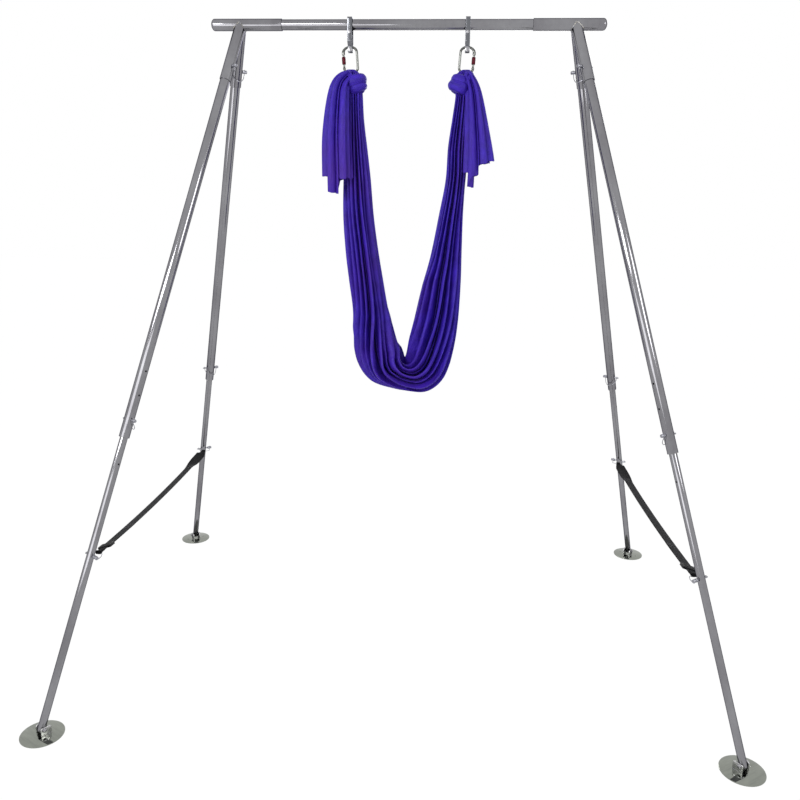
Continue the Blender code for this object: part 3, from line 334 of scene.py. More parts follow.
def woven_webbing():
    """Black webbing: ribs across, a herringbone along them and a faint dusty bloom."""
    material, tree, shader = finish("woven_webbing", (0.006, 0.006, 0.007), 0.7, Sheen_Weight=0.02,
                                    Sheen_Roughness=0.5, Sheen_Tint=(0.6, 0.62, 0.7, 1),
                                    Specular_IOR_Level=0.06)
    ribs = waves(tree, cloth_frame(tree), 330.0, 0.3, bands_direction="Y")
    twill = waves(tree, cloth_frame(tree, (1, 0.45, 1)), 260.0, 0.5, bands_direction="DIAGONAL")
    weave = add(tree, ribs, twill, 0.7)
    dust = noise_value(tree, cloth_frame(tree), 38.0, 5, 0.65)
    dark = blend_colours(tree, spread(tree, weave, 0.2, 1.5), (0.003, 0.003, 0.0032), (0.008, 0.008, 0.009))
    coat(tree, shader, spread(tree, dust, 0.5, 0.85, 0, 0.15), dark, (0.030, 0.030, 0.033),
         spread(tree, dust, 0.3, 0.8, 0.50, 0.78))
    bump(tree, shader, weave, 0.35, 0.0003)
    return material


def moulded_plastic():
    """Black nylon with a fine moulded grain, greyer where it is scuffed."""
    material, tree, shader = finish("moulded_plastic", (0.010, 0.010, 0.011), 0.45, Specular_IOR_Level=0.15)
    at = maker_frame(tree)
    scuffs = noise_value(tree, at, 120.0, 5, 0.7)
    coat(tree, shader, spread(tree, scuffs, 0.55, 0.8), (0.009, 0.009, 0.010), (0.035, 0.035, 0.038),
         spread(tree, scuffs, 0.3, 0.8, 0.38, 0.58))
    bump(tree, shader, noise_value(tree, at, 1500.0, 2), 0.3, 0.0002)
    return material


def thread_finish():
    """Dark grey twisted thread."""
    material, tree, shader = finish("stitching_thread", (0.05, 0.05, 0.055), 0.6, Sheen_Weight=0.2)
    twist = waves(tree, maker_frame(tree), 900.0, bands_direction="DIAGONAL")
    coat(tree, shader, twist, (0.03, 0.03, 0.033), (0.09, 0.09, 0.10))
    bump(tree, shader, twist, 0.4, 0.0002)
    return material


TUBE = polished_steel("tube_polish", (0.28, 0.28, 0.295), (0.18, 0.175, 0.19), 0.07, 0.14)
HANGER = polished_steel("hanger_polish", (0.21, 0.215, 0.23), (0.13, 0.135, 0.15), 0.15, 0.26, 1500.0)
CHROME = polished_steel("carabiner_chrome", (0.16, 0.165, 0.155), (0.09, 0.095, 0.09), 0.10, 0.20, 1800.0)
EARS = polished_steel("ear_polish", (0.62, 0.62, 0.62), (0.50, 0.50, 0.50), 0.22, 0.38, 1200.0)
WELD = weld_metal()
MIRROR = mirror_steel()
ZINC = zinc_plate("zinc_fasteners", (0.34, 0.34, 0.36), (0.24, 0.23, 0.24))
PIN_ZINC = zinc_plate("zinc_pins", (0.29, 0.29, 0.32), (0.19, 0.19, 0.22))
WIRE = zinc_plate("zinc_wire", (0.24, 0.24, 0.27), (0.15, 0.15, 0.18))
RED = red_anodised()
CLOTH = stretch_knit()
WEBBING = woven_webbing()
PLASTIC = moulded_plastic()
THREAD = thread_finish()


# Mesh helpers

def arc(a, b, radius, first, last, steps):
    """Points on an arc about (a, b), from one angle in degrees to another."""
    turns = [math.radians(first + (last - first) * step / steps) for step in range(steps + 1)]
    return [(a + radius * math.cos(turn), b + radius * math.sin(turn)) for turn in turns]


def spaced(first, last, count):
    return [first + (last - first) * step / count for step in range(count + 1)]


def lengths_of(points):
    """Length along a line up to each of its points."""
    lengths = [0.0]
    for a, b in zip(points, points[1:]):
        lengths.append(lengths[-1] + (b - a).length)
    return lengths


def put(bm, matrix):
    bm.transform(matrix)
    return bm


def block(size, at=(0, 0, 0)):
    bm = bmesh.new()
    bmesh.ops.create_cube(bm, size=1)
    return put(bm, Matrix.Translation(at) @ Matrix.Diagonal((*size, 1)))


def lathe(profile, steps):
    """Body turned about Z from a line of (radius, z) points."""
    bm = bmesh.new()
    points = [bm.verts.new((radius, 0, z)) for radius, z in profile]
    edges = [bm.edges.new(pair) for pair in zip(points, points[1:])]
    if profile[0][0] > 0 and profile[-1][0] > 0:
        edges.append(bm.edges.new((points[-1], points[0])))
    bmesh.ops.spin(bm, geom=points + edges, cent=(0, 0, 0), axis=(0, 0, 1), angle=math.tau,
                   steps=steps, use_merge=True)
    bmesh.ops.remove_doubles(bm, verts=bm.verts, dist=1e-6)
    bmesh.ops.recalc_face_normals(bm, faces=bm.faces)
    return bm


def round_edges(bm, radius, segments=2, angle=30):
    """Bevel every edge sharper than the angle."""
    sharp = [e for e in bm.edges if e.is_manifold and e.calc_face_angle() > math.radians(angle)]
    bmesh.ops.bevel(bm, geom=sharp, offset=radius, offset_type="OFFSET", segments=segments,
                    profile=0.5, affect="EDGES", clamp_overlap=True, material=-1)
    return bm


def plate_from(outline, thickness, radius, segments=2):
    """Flat plate in XZ from a closed outline, its thickness centred on Y, with rounded edges."""
    bm = bmesh.new()
    points = [bm.verts.new((a, -thickness / 2, b)) for a, b in outline]
    face = bm.faces.new(points)
    drawn = bmesh.ops.extrude_face_region(bm, geom=[face])
    moved = [g for g in drawn["geom"] if isinstance(g, bmesh.types.BMVert)]
    bmesh.ops.translate(bm, verts=moved, vec=(0, thickness, 0))
    bmesh.ops.recalc_face_normals(bm, faces=bm.faces)
    return round_edges(bm, radius, segments)


def joined(*parts):
    """One bmesh from several, each with its own matrix where it has one."""
    whole = bmesh.new()
    for part in parts:
        bm, matrix = part if isinstance(part, tuple) else (part, UNTURNED)
        bm.transform(matrix)
        mesh = bpy.data.meshes.new("part")
        bm.to_mesh(mesh)
        bm.free()
        whole.from_mesh(mesh)
        bpy.data.meshes.remove(mesh)
    return whole


def wire_along(points, radius, sides, radii=None, smooth=True):
    """Round bar along points, from a curve with round ends to its spans."""
    curve = bpy.data.curves.new("route", "CURVE")
    curve.dimensions = "3D"
    curve.bevel_depth = radius
    curve.bevel_resolution = max(1, sides // 4 - 1)
    curve.use_fill_caps = True
    curve.resolution_u = 6
    spline = curve.splines.new("NURBS" if smooth else "POLY")
    spline.points.add(len(points) - 1)
    for index, (point, place) in enumerate(zip(spline.points, points)):
        point.co = (*place, 1)
        point.radius = radii[index] / radius if radii else 1
    if smooth:
        spline.order_u = 3
        spline.use_endpoint_u = True
    holder = bpy.data.objects.new("route", curve)
    scene.collection.objects.link(holder)
    graph = bpy.context.evaluated_depsgraph_get()
    mesh = bpy.data.meshes.new_from_object(holder.evaluated_get(graph))
    bm = bmesh.new()
    bm.from_mesh(mesh)
    bpy.data.objects.remove(holder)
    bpy.data.curves.remove(curve)
    bpy.data.meshes.remove(mesh)
    bmesh.ops.remove_doubles(bm, verts=bm.verts, dist=1e-6)
    bmesh.ops.recalc_face_normals(bm, faces=bm.faces)
    return bm


def cut(bm, cutters, operation="DIFFERENCE"):
    """Boolean of one bmesh with others, worked out at once."""
    mesh = bpy.data.meshes.new("blank")
    bm.to_mesh(mesh)
    bm.free()
    blank = bpy.data.objects.new("blank", mesh)
    scene.collection.objects.link(blank)
    guides = []
    for cutter in cutters:
        tool = bpy.data.meshes.new("cutter")
        cutter.to_mesh(tool)
        cutter.free()
        guide = bpy.data.objects.new("cutter", tool)
        scene.collection.objects.link(guide)
        guides.append(guide)
        modifier = blank.modifiers.new("cut", "BOOLEAN")
        modifier.operation = operation
        modifier.solver = "EXACT"
        modifier.use_self = True
        modifier.object = guide
    graph = bpy.context.evaluated_depsgraph_get()
    done = bpy.data.meshes.new_from_object(blank.evaluated_get(graph))
    result = bmesh.new()
    result.from_mesh(done)
    for item in [blank, *guides]:
        old = item.data
        bpy.data.objects.remove(item)
        bpy.data.meshes.remove(old)
    bpy.data.meshes.remove(done)
    bmesh.ops.remove_doubles(result, verts=result.verts, dist=1e-6)
    return result


def drill(diameter, reach, at, along=X, steps=24):
    """Cutter for a round hole through a point."""
    bm = lathe([(0, -reach), (diameter / 2, -reach), (diameter / 2, reach), (0, reach)], steps)
    return put(bm, pointing_up(Vector(at), along, Z if along != Z else X))


def finished(name, bm, matrix, material, slot, body, *nodes, angle=32):
    """Piece from a bmesh in the frame it was made in, placed in its mesh, riding on its body."""
    mesh = bpy.data.meshes.new(name)
    bm.to_mesh(mesh)
    bm.free()
    made_in = [value for vertex in mesh.vertices for value in vertex.co]
    kept = mesh.attributes.new("maker_frame", "FLOAT_VECTOR", "POINT")
    kept.data.foreach_set("vector", made_in)
    mesh.transform(matrix)
    mesh.shade_smooth()
    mesh.set_sharp_from_angle(angle=math.radians(angle))
    mesh.materials.append(material)
    piece = bpy.data.objects.new(name, mesh)
    scene.collection.objects.link(piece)
    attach(piece, body)
    if nodes:
        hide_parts(*nodes)
    return piece


# Crossbar and heads

def build_crossbar():
    half = SLEEVE_START_X + BAR_INSERT
    outer = BAR_DIAMETER / 2
    inner = outer - BAR_WALL
    tube = round_edges(lathe([(inner, -half), (outer, -half), (outer, half), (inner, half)], SMOOTH), EDGE)
    finished("crossbar_tube_polished", tube, pointing_up(Z * BAR_HEIGHT, X, Z), TUBE, "tube_steel", "frame",
             "crossbar_tube")


def weld_bead(points, radius=0.0026, ripple=0.0042):
    """Bead along a line of points, swelling once a ripple."""
    radii = [radius * (1 + 0.14 * math.sin(math.tau * at / ripple)) for at in lengths_of(points)]
    return wire_along(points, radius, 12, radii, smooth=False)


def socket_on_sleeve(leg):
    """Line where a leg's socket meets the sleeve of the head."""
    along = leg.down
    u = along.cross(X).normalized()
    v = along.cross(u)
    a = along.y ** 2 + along.z ** 2
    points = []
    for out, up in arc(0, 0, SOCKET_DIAMETER / 2, 0, 360, 220):
        spoke = u * out + v * up
        b = 2 * (spoke.y * along.y + spoke.z * along.z)
        c = spoke.y ** 2 + spoke.z ** 2 - (SLEEVE_DIAMETER / 2) ** 2
        reach = (-b + math.sqrt(max(0.0, b * b - 4 * a * c))) / (2 * a)
        points.append(spoke + along * reach)
    return points


def socket_on_socket(leg):
    """Half of the oval where the two sockets of a head meet, in the plane between them."""
    flat = Vector((leg.down.x, 0, leg.down.z)).normalized()
    across = Y.cross(flat)
    return [flat * out / abs(leg.down.y) + across * up
            for out, up in arc(0, 0, SOCKET_DIAMETER / 2, -90, 90, 120)]


def build_heads():
    """Both heads: the right one is the left one turned half round."""
    outer, bore = SLEEVE_DIAMETER / 2, BAR_DIAMETER / 2 + GAP
    start, end = SLEEVE_START_X - HEAD_X, SLEEVE_END_X - HEAD_X
    dome = [(outer * a, end - SLEEVE_DOME + SLEEVE_DOME * b) for a, b in arc(0, 0, 1, 0, 84, 14)]
    along, inside = pointing_up(Z * 0, -X, Z), end - SLEEVE_END_WALL
    skin = [(0, start), (outer - LIP, start), (outer, start + LIP), *dome, (0, end)]
    hollow = [(0, start - 0.002), (bore, start - 0.002), (bore, inside), (0, inside)]
    sleeve, cutters = put(lathe(skin, SMOOTH), along), [put(lathe(hollow, SMOOTH), along)]
    outer, bore = SOCKET_DIAMETER / 2, UPPER_DIAMETER / 2 + GAP
    rod = [(0, 0), (outer, 0), (outer, SOCKET_END - LIP), (outer - LIP, SOCKET_END), (0, SOCKET_END)]
    seat = [(0, SOCKET_SEAT), (bore, SOCKET_SEAT), (bore, SOCKET_END + 0.002), (0, SOCKET_END + 0.002)]
    legs = [LEGS[LEFT, FRONT], LEGS[LEFT, REAR]]
    downs = [pointing_up(Z * 0, leg.down, leg.head) for leg in legs]
    cutters += [put(lathe(seat, SMOOTH), down) for down in downs]
    cutters += [drill(PIN_HOLE, SOCKET_DIAMETER, leg.down * HEAD_PIN_AT, leg.head) for leg in legs]
    body = cut(sleeve, [put(lathe(rod, SMOOTH), down) for down in downs], "UNION")
    body = cut(body, cutters)
    beads = [weld_bead(socket_on_sleeve(leg)) for leg in legs]
    welds = joined(*beads, weld_bead(socket_on_socket(legs[0])))
    for side, name in SIDES.items():
        place = Matrix.Translation((side * HEAD_X, 0, BAR_HEIGHT))
        place = place @ Matrix.Rotation(0 if side == LEFT else math.pi, 4, "Z")
        finished(f"{name}_head_body", body.copy(), place, TUBE, "tube_steel", "frame", f"{name}_head")
        finished(f"{name}_head_welds", welds.copy(), place, WELD, "tube_steel", "frame")


# Legs

def build_legs():
    length = LEGS[LEFT, FRONT].length
    outer, inner = UPPER_DIAMETER / 2, UPPER_DIAMETER / 2 - UPPER_WALL
    ring = LOWER_DIAMETER / 2 + GAP
    top, end = -(SOCKET_SEAT + GAP), -UPPER_END
    upper = round_edges(lathe([(outer, top), (inner, top), (inner, end + RING_LENGTH),
                               (ring, end + RING_LENGTH), (ring, end), (outer, end)], SMOOTH), EDGE)
    upper = cut(upper, [drill(PIN_HOLE, UPPER_DIAMETER, (0, 0, -at)) for at in UPPER_HOLES])
    collar = [Vector((*point, end)) for point in arc(0, 0, outer - 2 * EDGE, 0, 360, SMOOTH)]
    collar = wire_along(collar, 2 * EDGE, 10, smooth=False)
    outer, inner = LOWER_DIAMETER / 2, LOWER_DIAMETER / 2 - LOWER_WALL
    end = -(length + LOWER_PAST_BOLT)
    lower = lathe([(outer, -LOWER_START), (inner, -LOWER_START), (inner, end), (outer, end)], 80)
    lower = round_edges(lower, EDGE)
    drills = [drill(PIN_HOLE, LOWER_DIAMETER, (0, 0, -at)) for at in LOWER_HOLES]
    lower = cut(lower, drills + [drill(FOOT_BOLT_DIAMETER + 2 * GAP, LOWER_DIAMETER, (0, 0, -length))])
    for leg in LEGS.values():
        finished(f"{leg.name}_upper_tube", upper.copy(), leg.matrix, TUBE, "tube_steel", "frame",
                 f"{leg.name}_upper_leg")
    for leg in LEGS.values():
        finished(f"{leg.name}_lower_tube", lower.copy(), leg.matrix, TUBE, "tube_steel", "frame",
                 f"{leg.name}_lower_leg")
        finished(f"{leg.name}_collar_weld", collar.copy(), leg.matrix, WELD, "tube_steel", "frame")


# Lock pins and their wire bows

def pin_frame(leg, station, offset, pulled):
    """Frame at the middle of a pin's head: Y to the tip, X the way the bow reaches."""
    reach = -leg.lean if pulled else leg.inward
    to_tip = -leg.head
    origin = leg.top + leg.down * station + leg.head * offset
    return axes_matrix(origin, reach, to_tip, reach.cross(to_tip))


def pin_hand(matrix, leg):
    return 1 if matrix.col[2].to_3d().dot(leg.down) > 0 else -1


def bow_route(reach, drop, handed):
    """Route of the wire from its stub through the head to the hook on the tip."""
    hook = PIN_DIAMETER / 2 + GAP + BAIL_WIRE / 2 + 0.0006
    bend = 0.010 + BAIL_WIRE
    end_drop = 0.2 * drop + 0.0006
    points = [(0, 0, -0.010), (0, 0, 0.006), (0, 0, 0.010), (0.10 * reach, 0.02 * BAIL_SPAN, bend)]
    for low, shares in ((bend, ((0.62, 0.12, 0.5), (0.92, 0.30, 1.0), (1.00, 0.50, 1.0))),
                        (end_drop, ((0.92, 0.72, 0.8), (0.55, 0.93, 0.4)))):
        points += [(out * reach, along * BAIL_SPAN, low + down * (drop - low))
                   for out, along, down in shares]
    points.append((hook, BAIL_SPAN, end_drop))
    points += [(x, BAIL_SPAN, z) for x, z in arc(0, 0, hook, 0, -100, 5)[1:]]
    return [Vector((x, y, z * handed)) for x, y, z in points]


def build_pins():
    head, shank, half = PIN_HEAD_DIAMETER / 2, PIN_DIAMETER / 2, PIN_HEAD_LENGTH / 2
    tip, groove = PIN_REACH, PIN_HEAD_DIAMETER / 2 - 0.0007
    profile = [(0, -half), (head - 0.0018, -half), (head - 0.0005, -half + 0.0006), (head, -half + 0.0020),
               (head, -0.0052), (groove, -0.0046), (groove, -0.0040), (head, -0.0034),
               (head, 0.0034), (groove, 0.0040), (groove, 0.0046), (head, 0.0052),
               (head, half - EDGE), (head - EDGE, half), (shank + 0.0005, half), (shank, half + 0.0005),
               (shank, tip - 0.0030), (shank - 0.0016, tip - 0.0003), (shank - 0.0022, tip), (0, tip)]
    pin = lathe(profile, 40)
    seat = GAP + half
    sets = (("head_pin", HEAD_PIN_AT, SOCKET_DIAMETER / 2 + seat, "head_lock", "head_bow", HANGING_BOW),
            ("mid_pin", MID_PIN_AT, UPPER_DIAMETER / 2 + seat, "mid_lock", "mid_bow", HANGING_BOW),
            ("strap_pin", STRAP_PIN_AT, PIN_REACH / 2, None, None, PULLED_BOW))
    for leg in LEGS.values():
        for label, station, offset, lock, bow, size in sets:
            place = pin_frame(leg, station, offset, lock is None)
            wire = wire_along(bow_route(*size, pin_hand(place, leg)), BAIL_WIRE / 2, 12)
            for what, shape, at, look, slot, body, target in (
                    ("turned", pin.copy(), place @ Z_ALONG_Y, PIN_ZINC, "pin_steel", lock, label),
                    ("bow", wire, place, WIRE, "bail_wire", bow, f"{label}_bail")):
                finished(f"{leg.name}_{label}_{what}", shape, at, look, slot,
                         f"{leg.name}_{body}" if body else "frame", f"{leg.name}_{target}")


# Bolts

def hex_bolt(diameter, grip):
    """Bolt along Z, head at -Z and nut at +Z, with chamfered corners, washer faces and a thread."""
    flats, height = HEX_FLATS * diameter, HEX_HEIGHT * diameter
    half = grip / 2 + GAP
    corner = flats / math.sqrt(3)
    shank = diameter / 2
    tip = half + height + BOLT_TIP * diameter
    parts = []
    for low, high in ((-half - height, -half), (half, half + height)):
        hexagon = bmesh.new()
        bmesh.ops.create_cone(hexagon, cap_ends=True, segments=6, radius1=corner, radius2=corner,
                              depth=high - low)
        bmesh.ops.translate(hexagon, verts=hexagon.verts, vec=(0, 0, (low + high) / 2))
        chamfer = 0.10 * diameter
        limit = lathe([(0, low), (flats / 2 * 0.94, low), (corner, low + chamfer), (corner, high - chamfer),
                       (flats / 2 * 0.94, high), (0, high)], 48)
        parts.append(cut(hexagon, [limit], "INTERSECT"))
    pitch = 0.14 * diameter
    turns = int((tip - half - height - 0.0002) / pitch)
    thread = [(0, -half - height / 2), (shank, -half - height / 2), (shank, half + height)]
    for turn in range(max(1, turns)):
        base = half + height + turn * pitch
        thread += [(shank, base + pitch * 0.2), (shank - 0.5 * pitch, base + pitch * 0.6),
                   (shank, base + pitch)]
    thread += [(shank - pitch, tip), (0, tip)]
    parts.append(lathe(thread, 32))
    return joined(*parts)


# Feet

def build_feet():
    radius, floor = PLATE_DIAMETER / 2, -FOOT_BOLT_HEIGHT
    top = floor + PLATE_THICKNESS
    inner = LOWER_DIAMETER / 2 + EAR_CLEARANCE
    disc = lathe([(0, floor), (radius - 0.0010, floor), (radius - 0.0003, floor + 0.0003),
                  (radius, floor + 0.0010), (radius, top - 0.0010), (radius - 0.0003, top - 0.0003),
                  (radius - 0.0012, top), (0, top)], 160)
    screw = SCREW_HOLE_DIAMETER / 2
    sink = [(0, top - 0.0012), (screw, top - 0.0012), (screw + 0.0016, top + 0.0004), (0, top + 0.0004)]
    screws = [drill(SCREW_HOLE_DIAMETER, 0.02, (0, flip * SCREW_HOLE_AT, floor), Z, 40) for flip in (-1, 1)]
    sinks = [put(lathe(sink, 40), Matrix.Translation((0, flip * SCREW_HOLE_AT, 0))) for flip in (-1, 1)]
    disc = cut(disc, screws + sinks)
    crown, base = EAR_TOP - FOOT_BOLT_HEIGHT - EAR_CORNER, floor + PLATE_THICKNESS / 2
    outline = [(-EAR_INNER, base), (EAR_OUTER, base),
               *arc(EAR_OUTER - EAR_CORNER, crown, EAR_CORNER, 0, 90, 10),
               *arc(-EAR_INNER + EAR_CORNER, crown, EAR_CORNER, 90, 180, 10)]
    ears, beads = [], []
    for flip in (-1, 1):
        middle, face = flip * (inner + EAR_THICKNESS / 2), flip * (inner + EAR_THICKNESS)
        ear = put(plate_from(outline, EAR_THICKNESS, LIP, 3), Matrix.Translation((0, middle, 0)))
        ears.append(cut(ear, [drill(FOOT_BOLT_DIAMETER + 2 * GAP, 0.05, (0, 0, 0), Y, 40)]))
        run = [Vector((-EAR_INNER + (EAR_OUTER + EAR_INNER) * step / 60, face, top)) for step in range(61)]
        beads.append(weld_bead(run, 0.0016, 0.0036))
    ears, welds = joined(*ears), joined(*beads)
    bolt = hex_bolt(FOOT_BOLT_DIAMETER, 2 * (inner + EAR_THICKNESS))
    for leg in LEGS.values():
        place, body = axes_matrix(leg.foot, leg.lean, Z.cross(leg.lean), Z), f"{leg.name}_foot"
        finished(f"{body}_disc", disc.copy(), place, MIRROR, "plate_steel", body, f"{body}_plate")
        finished(f"{body}_ears", ears.copy(), place, EARS, "plate_steel", body)
        finished(f"{body}_welds", welds.copy(), place, WELD, "plate_steel", body)
        finished(f"{body}_hex_bolt", bolt.copy(), place @ Z_ALONG_Y, ZINC, "fastener_steel", "frame",
                 f"{body}_bolt")


# Hangers

def hanger_line():
    """Middle line of the strip in (y, z), over the crossbar from one fork end to the other."""
    half = STRIP_THICKNESS / 2
    fork, cheek = FORK_GAP / 2 + half, BAR_DIAMETER / 2 + CHEEK_CLEARANCE + half
    top = BAR_DIAMETER / 2 + GAP + half
    line = [(fork, -LOWER_BOLT_DROP - FORK_END_MARGIN), (fork, -JOGGLE_BOTTOM - 0.004),
            (fork + 0.0006, -JOGGLE_BOTTOM), (fork + 0.0024, -JOGGLE_BOTTOM + 0.004),
            (cheek - 0.0024, -JOGGLE_TOP - 0.004), (cheek - 0.0006, -JOGGLE_TOP),
            (cheek, -JOGGLE_TOP + 0.004)]
    line += arc(cheek - STRIP_CORNER, top - STRIP_CORNER, STRIP_CORNER, 0, 90, 9)
    return line + [(-y, z) for y, z in reversed(line)]


def strip_body():
    """Strip drawn along its line, given its thickness and rounded edges, and drilled for the bolts."""
    bm = bmesh.new()
    points = [bm.verts.new((-STRIP_WIDTH / 2, y, z)) for y, z in hanger_line()]
    edges = [bm.edges.new(pair) for pair in zip(points, points[1:])]
    drawn = bmesh.ops.extrude_edge_only(bm, edges=edges)
    moved = [g for g in drawn["geom"] if isinstance(g, bmesh.types.BMVert)]
    bmesh.ops.translate(bm, verts=moved, vec=(STRIP_WIDTH, 0, 0))
    bmesh.ops.recalc_face_normals(bm, faces=bm.faces)
    half = STRIP_THICKNESS / 2
    bm.normal_update()
    for vertex in bm.verts:
        vertex.co -= vertex.normal * half
    bmesh.ops.solidify(bm, geom=bm.faces[:], thickness=-STRIP_THICKNESS)
    bmesh.ops.recalc_face_normals(bm, faces=bm.faces)
    round_edges(bm, 0.0009, 3, 50)
    drills = [drill(diameter + 2 * GAP, 0.05, (0, 0, -drop), Y, 40)
              for drop, diameter in ((UPPER_BOLT_DROP, UPPER_BOLT_DIAMETER),
                                     (LOWER_BOLT_DROP, LOWER_BOLT_DIAMETER))]
    return cut(bm, drills)


def build_hangers():
    strip = strip_body()
    cheeks = BAR_DIAMETER + 2 * (CHEEK_CLEARANCE + STRIP_THICKNESS)
    bolts = {"upper": (hex_bolt(UPPER_BOLT_DIAMETER, cheeks), UPPER_BOLT_DROP),
             "lower": (hex_bolt(LOWER_BOLT_DIAMETER, FORK_GAP + 2 * STRIP_THICKNESS), LOWER_BOLT_DROP)}
    for side, name in SIDES.items():
        place = Matrix.Translation((HANGER_X[side], 0, BAR_HEIGHT))
        body = f"{name}_suspension"
        finished(f"{name}_hanger_strip", strip.copy(), place, HANGER, "hanger_steel", body, f"{name}_hanger")
        for label, (bolt, drop) in bolts.items():
            at = place @ Matrix.Translation((0, 0, -drop)) @ Z_ALONG_Y
            finished(f"{name}_{label}_hex_bolt", bolt.copy(), at, ZINC, "fastener_steel", body,
                     f"{name}_hanger_{label}_bolt")


# Carabiners

def carabiner_frame(side):
    """Frame at the middle of the top arch: X to the spine, Z up the leaning carabiner."""
    half = (CARABINER_WIDTH - ROD_DIAMETER) / 2
    turn = math.atan(half / CARABINER_TOP * math.tan(CARABINER_TILT))
    to_spine = Vector((-side * math.cos(CARABINER_TILT), 0, math.sin(CARABINER_TILT)))
    up = Vector((side * math.sin(CARABINER_TILT), 0, math.cos(CARABINER_TILT)))
    bolt = Vector((HANGER_X[side], 0, BAR_HEIGHT - LOWER_BOLT_DROP))
    rest = bolt + Vector((0, 0, LOWER_BOLT_DIAMETER / 2 + GAP + ROD_DIAMETER / 2))
    contact = to_spine * half * math.sin(turn) + up * CARABINER_TOP * math.cos(turn)
    return axes_matrix(rest - contact, to_spine, up.cross(to_spine), up)


def carabiner_route():
    """Middle line of the rod from nose to hinge, and its radius at each point."""
    half = (CARABINER_WIDTH - ROD_DIAMETER) / 2
    rod, nose, hinge = ROD_DIAMETER / 2, NOSE_DIAMETER / 2, HINGE_DIAMETER / 2
    turns = spaced(0, math.pi, 40)
    route = [(-half, -NOSE_END, nose - EDGE), (-half, -NOSE_END + EDGE, nose), (-half, 0, nose)]
    for turn in turns[1:]:
        swell = max(0.0, 1 - turn * half / NOSE_TAPER)
        route.append((-half * math.cos(turn), CARABINER_TOP * math.sin(turn), rod + (nose - rod) * swell))
    for turn in turns:
        swell = max(0.0, (turn - HINGE_SWELL) / (math.pi - HINGE_SWELL))
        route.append((half * math.cos(turn), -CARABINER_SIDE - CARABINER_BOTTOM * math.sin(turn),
                      rod + (hinge - rod) * swell))
    route += [(-half, -HINGE_TOP - EDGE, hinge), (-half, -HINGE_TOP, hinge - EDGE)]
    return [Vector((x, 0, z)) for x, z, _ in route], [radius for _, _, radius in route]


def build_carabiners():
    half = (CARABINER_WIDTH - ROD_DIAMETER) / 2
    hinge, pivot, rod, tongue = HINGE_DIAMETER / 2, RIVET_DIAMETER / 2, GATE_DIAMETER / 2, 0.0040
    tip, foot = -NOSE_END - 0.0008, -HINGE_TOP + 0.0025
    points, radii = carabiner_route()
    for side, name in SIDES.items():
        place = carabiner_frame(side)
        ring = wire_along(points, ROD_DIAMETER / 2, 24, radii, smooth=False)
        ring = cut(ring, [block((2 * HINGE_DIAMETER, SLOT_WIDTH, 0.0098), (-half, 0, -HINGE_AT - EDGE))])
        rivet = lathe([(0, -hinge - 0.0004), (0.0012, -hinge - 0.0003), (pivot, -hinge + EDGE),
                       (pivot, hinge - EDGE), (0.0012, hinge + 0.0003), (0, hinge + 0.0004)], 24)
        ring = joined(ring, (rivet, pointing_up(Vector((-half, 0, -HINGE_AT)), Y, Z)))
        bar = lathe([(0, foot), (rod - 0.0012, foot), (rod, foot + 0.0012), (rod, tip - 0.0008),
                     (rod - 0.0008, tip), (0, tip)], 40)
        root = HINGE_AT + foot + 0.001
        outline = [*arc(0, 0, tongue, 180, 360, 12), (tongue, root), (-tongue, root)]
        hook = cut(plate_from(outline, SLOT_WIDTH - 2 * GAP, 0.0003),
                   [drill(RIVET_DIAMETER + 2 * GAP, 0.01, (0, 0, 0), Y)])
        gate = joined((bar, Matrix.Translation((-half, 0, 0))),
                      (hook, Matrix.Translation((-half, 0, -HINGE_AT))))
        nut = place @ Matrix.Translation((-half, 0, -NUT_START - NUT_LENGTH / 2))
        finished(f"{name}_carabiner_body", ring, place, CHROME, "carabiner_steel", f"{name}_suspension",
                 f"{name}_carabiner")
        finished(f"{name}_gate_rod", gate, place, CHROME, "carabiner_steel", f"{name}_gate_body",
                 f"{name}_gate")
        finished(f"{name}_knurled_sleeve", screw_sleeve(), nut, RED, "red_sleeve", f"{name}_sleeve_body",
                 f"{name}_screw_sleeve")


def screw_sleeve():
    """Locking sleeve: chamfered ends, a groove near each, and a knurled middle with its own UVs."""
    inner, outer, top = GATE_DIAMETER / 2 + GAP, NUT_DIAMETER / 2, NUT_LENGTH / 2
    half = [(inner, top), (outer - 0.0026, top), (outer - 0.0004, top - 0.0022), (outer, top - 0.0030),
            (outer, top - 0.0046), (outer - 0.0006, top - 0.0050), (outer - 0.0006, top - 0.0056),
            (outer - 0.0001, top - 0.0060)]
    sleeve = lathe(half + [(radius, -z) for radius, z in reversed(half)], 64)
    layer = sleeve.loops.layers.uv.new("cloth")
    for face in sleeve.faces:
        middle = face.calc_center_median()
        base = math.atan2(middle.y, middle.x)
        for loop in face.loops:
            turn = math.atan2(loop.vert.co.y, loop.vert.co.x)
            turn = base + (turn - base + math.pi) % math.tau - math.pi
            loop[layer].uv = (turn * outer, loop.vert.co.z)
    return sleeve


# Cloth helpers

def sheet_from(rows, width, lengths):
    """Grid of cloth through rows of points, from a plain grid whose points are then put in place,
    with its metres across and along kept as UVs."""
    across = len(rows[0])
    bm = bmesh.new()
    bmesh.ops.create_grid(bm, x_segments=across - 1, y_segments=len(rows) - 1, size=0.5)
    order = sorted(bm.verts, key=lambda v: (round(v.co.y * 1e5), round(v.co.x * 1e5)))
    layer = bm.loops.layers.uv.new("cloth")
    for index, vertex in enumerate(order):
        row, column = divmod(index, across)
        vertex.co = rows[row][column]
        for loop in vertex.link_loops:
            loop[layer].uv = (width * column / (across - 1), lengths[row])
    return bm


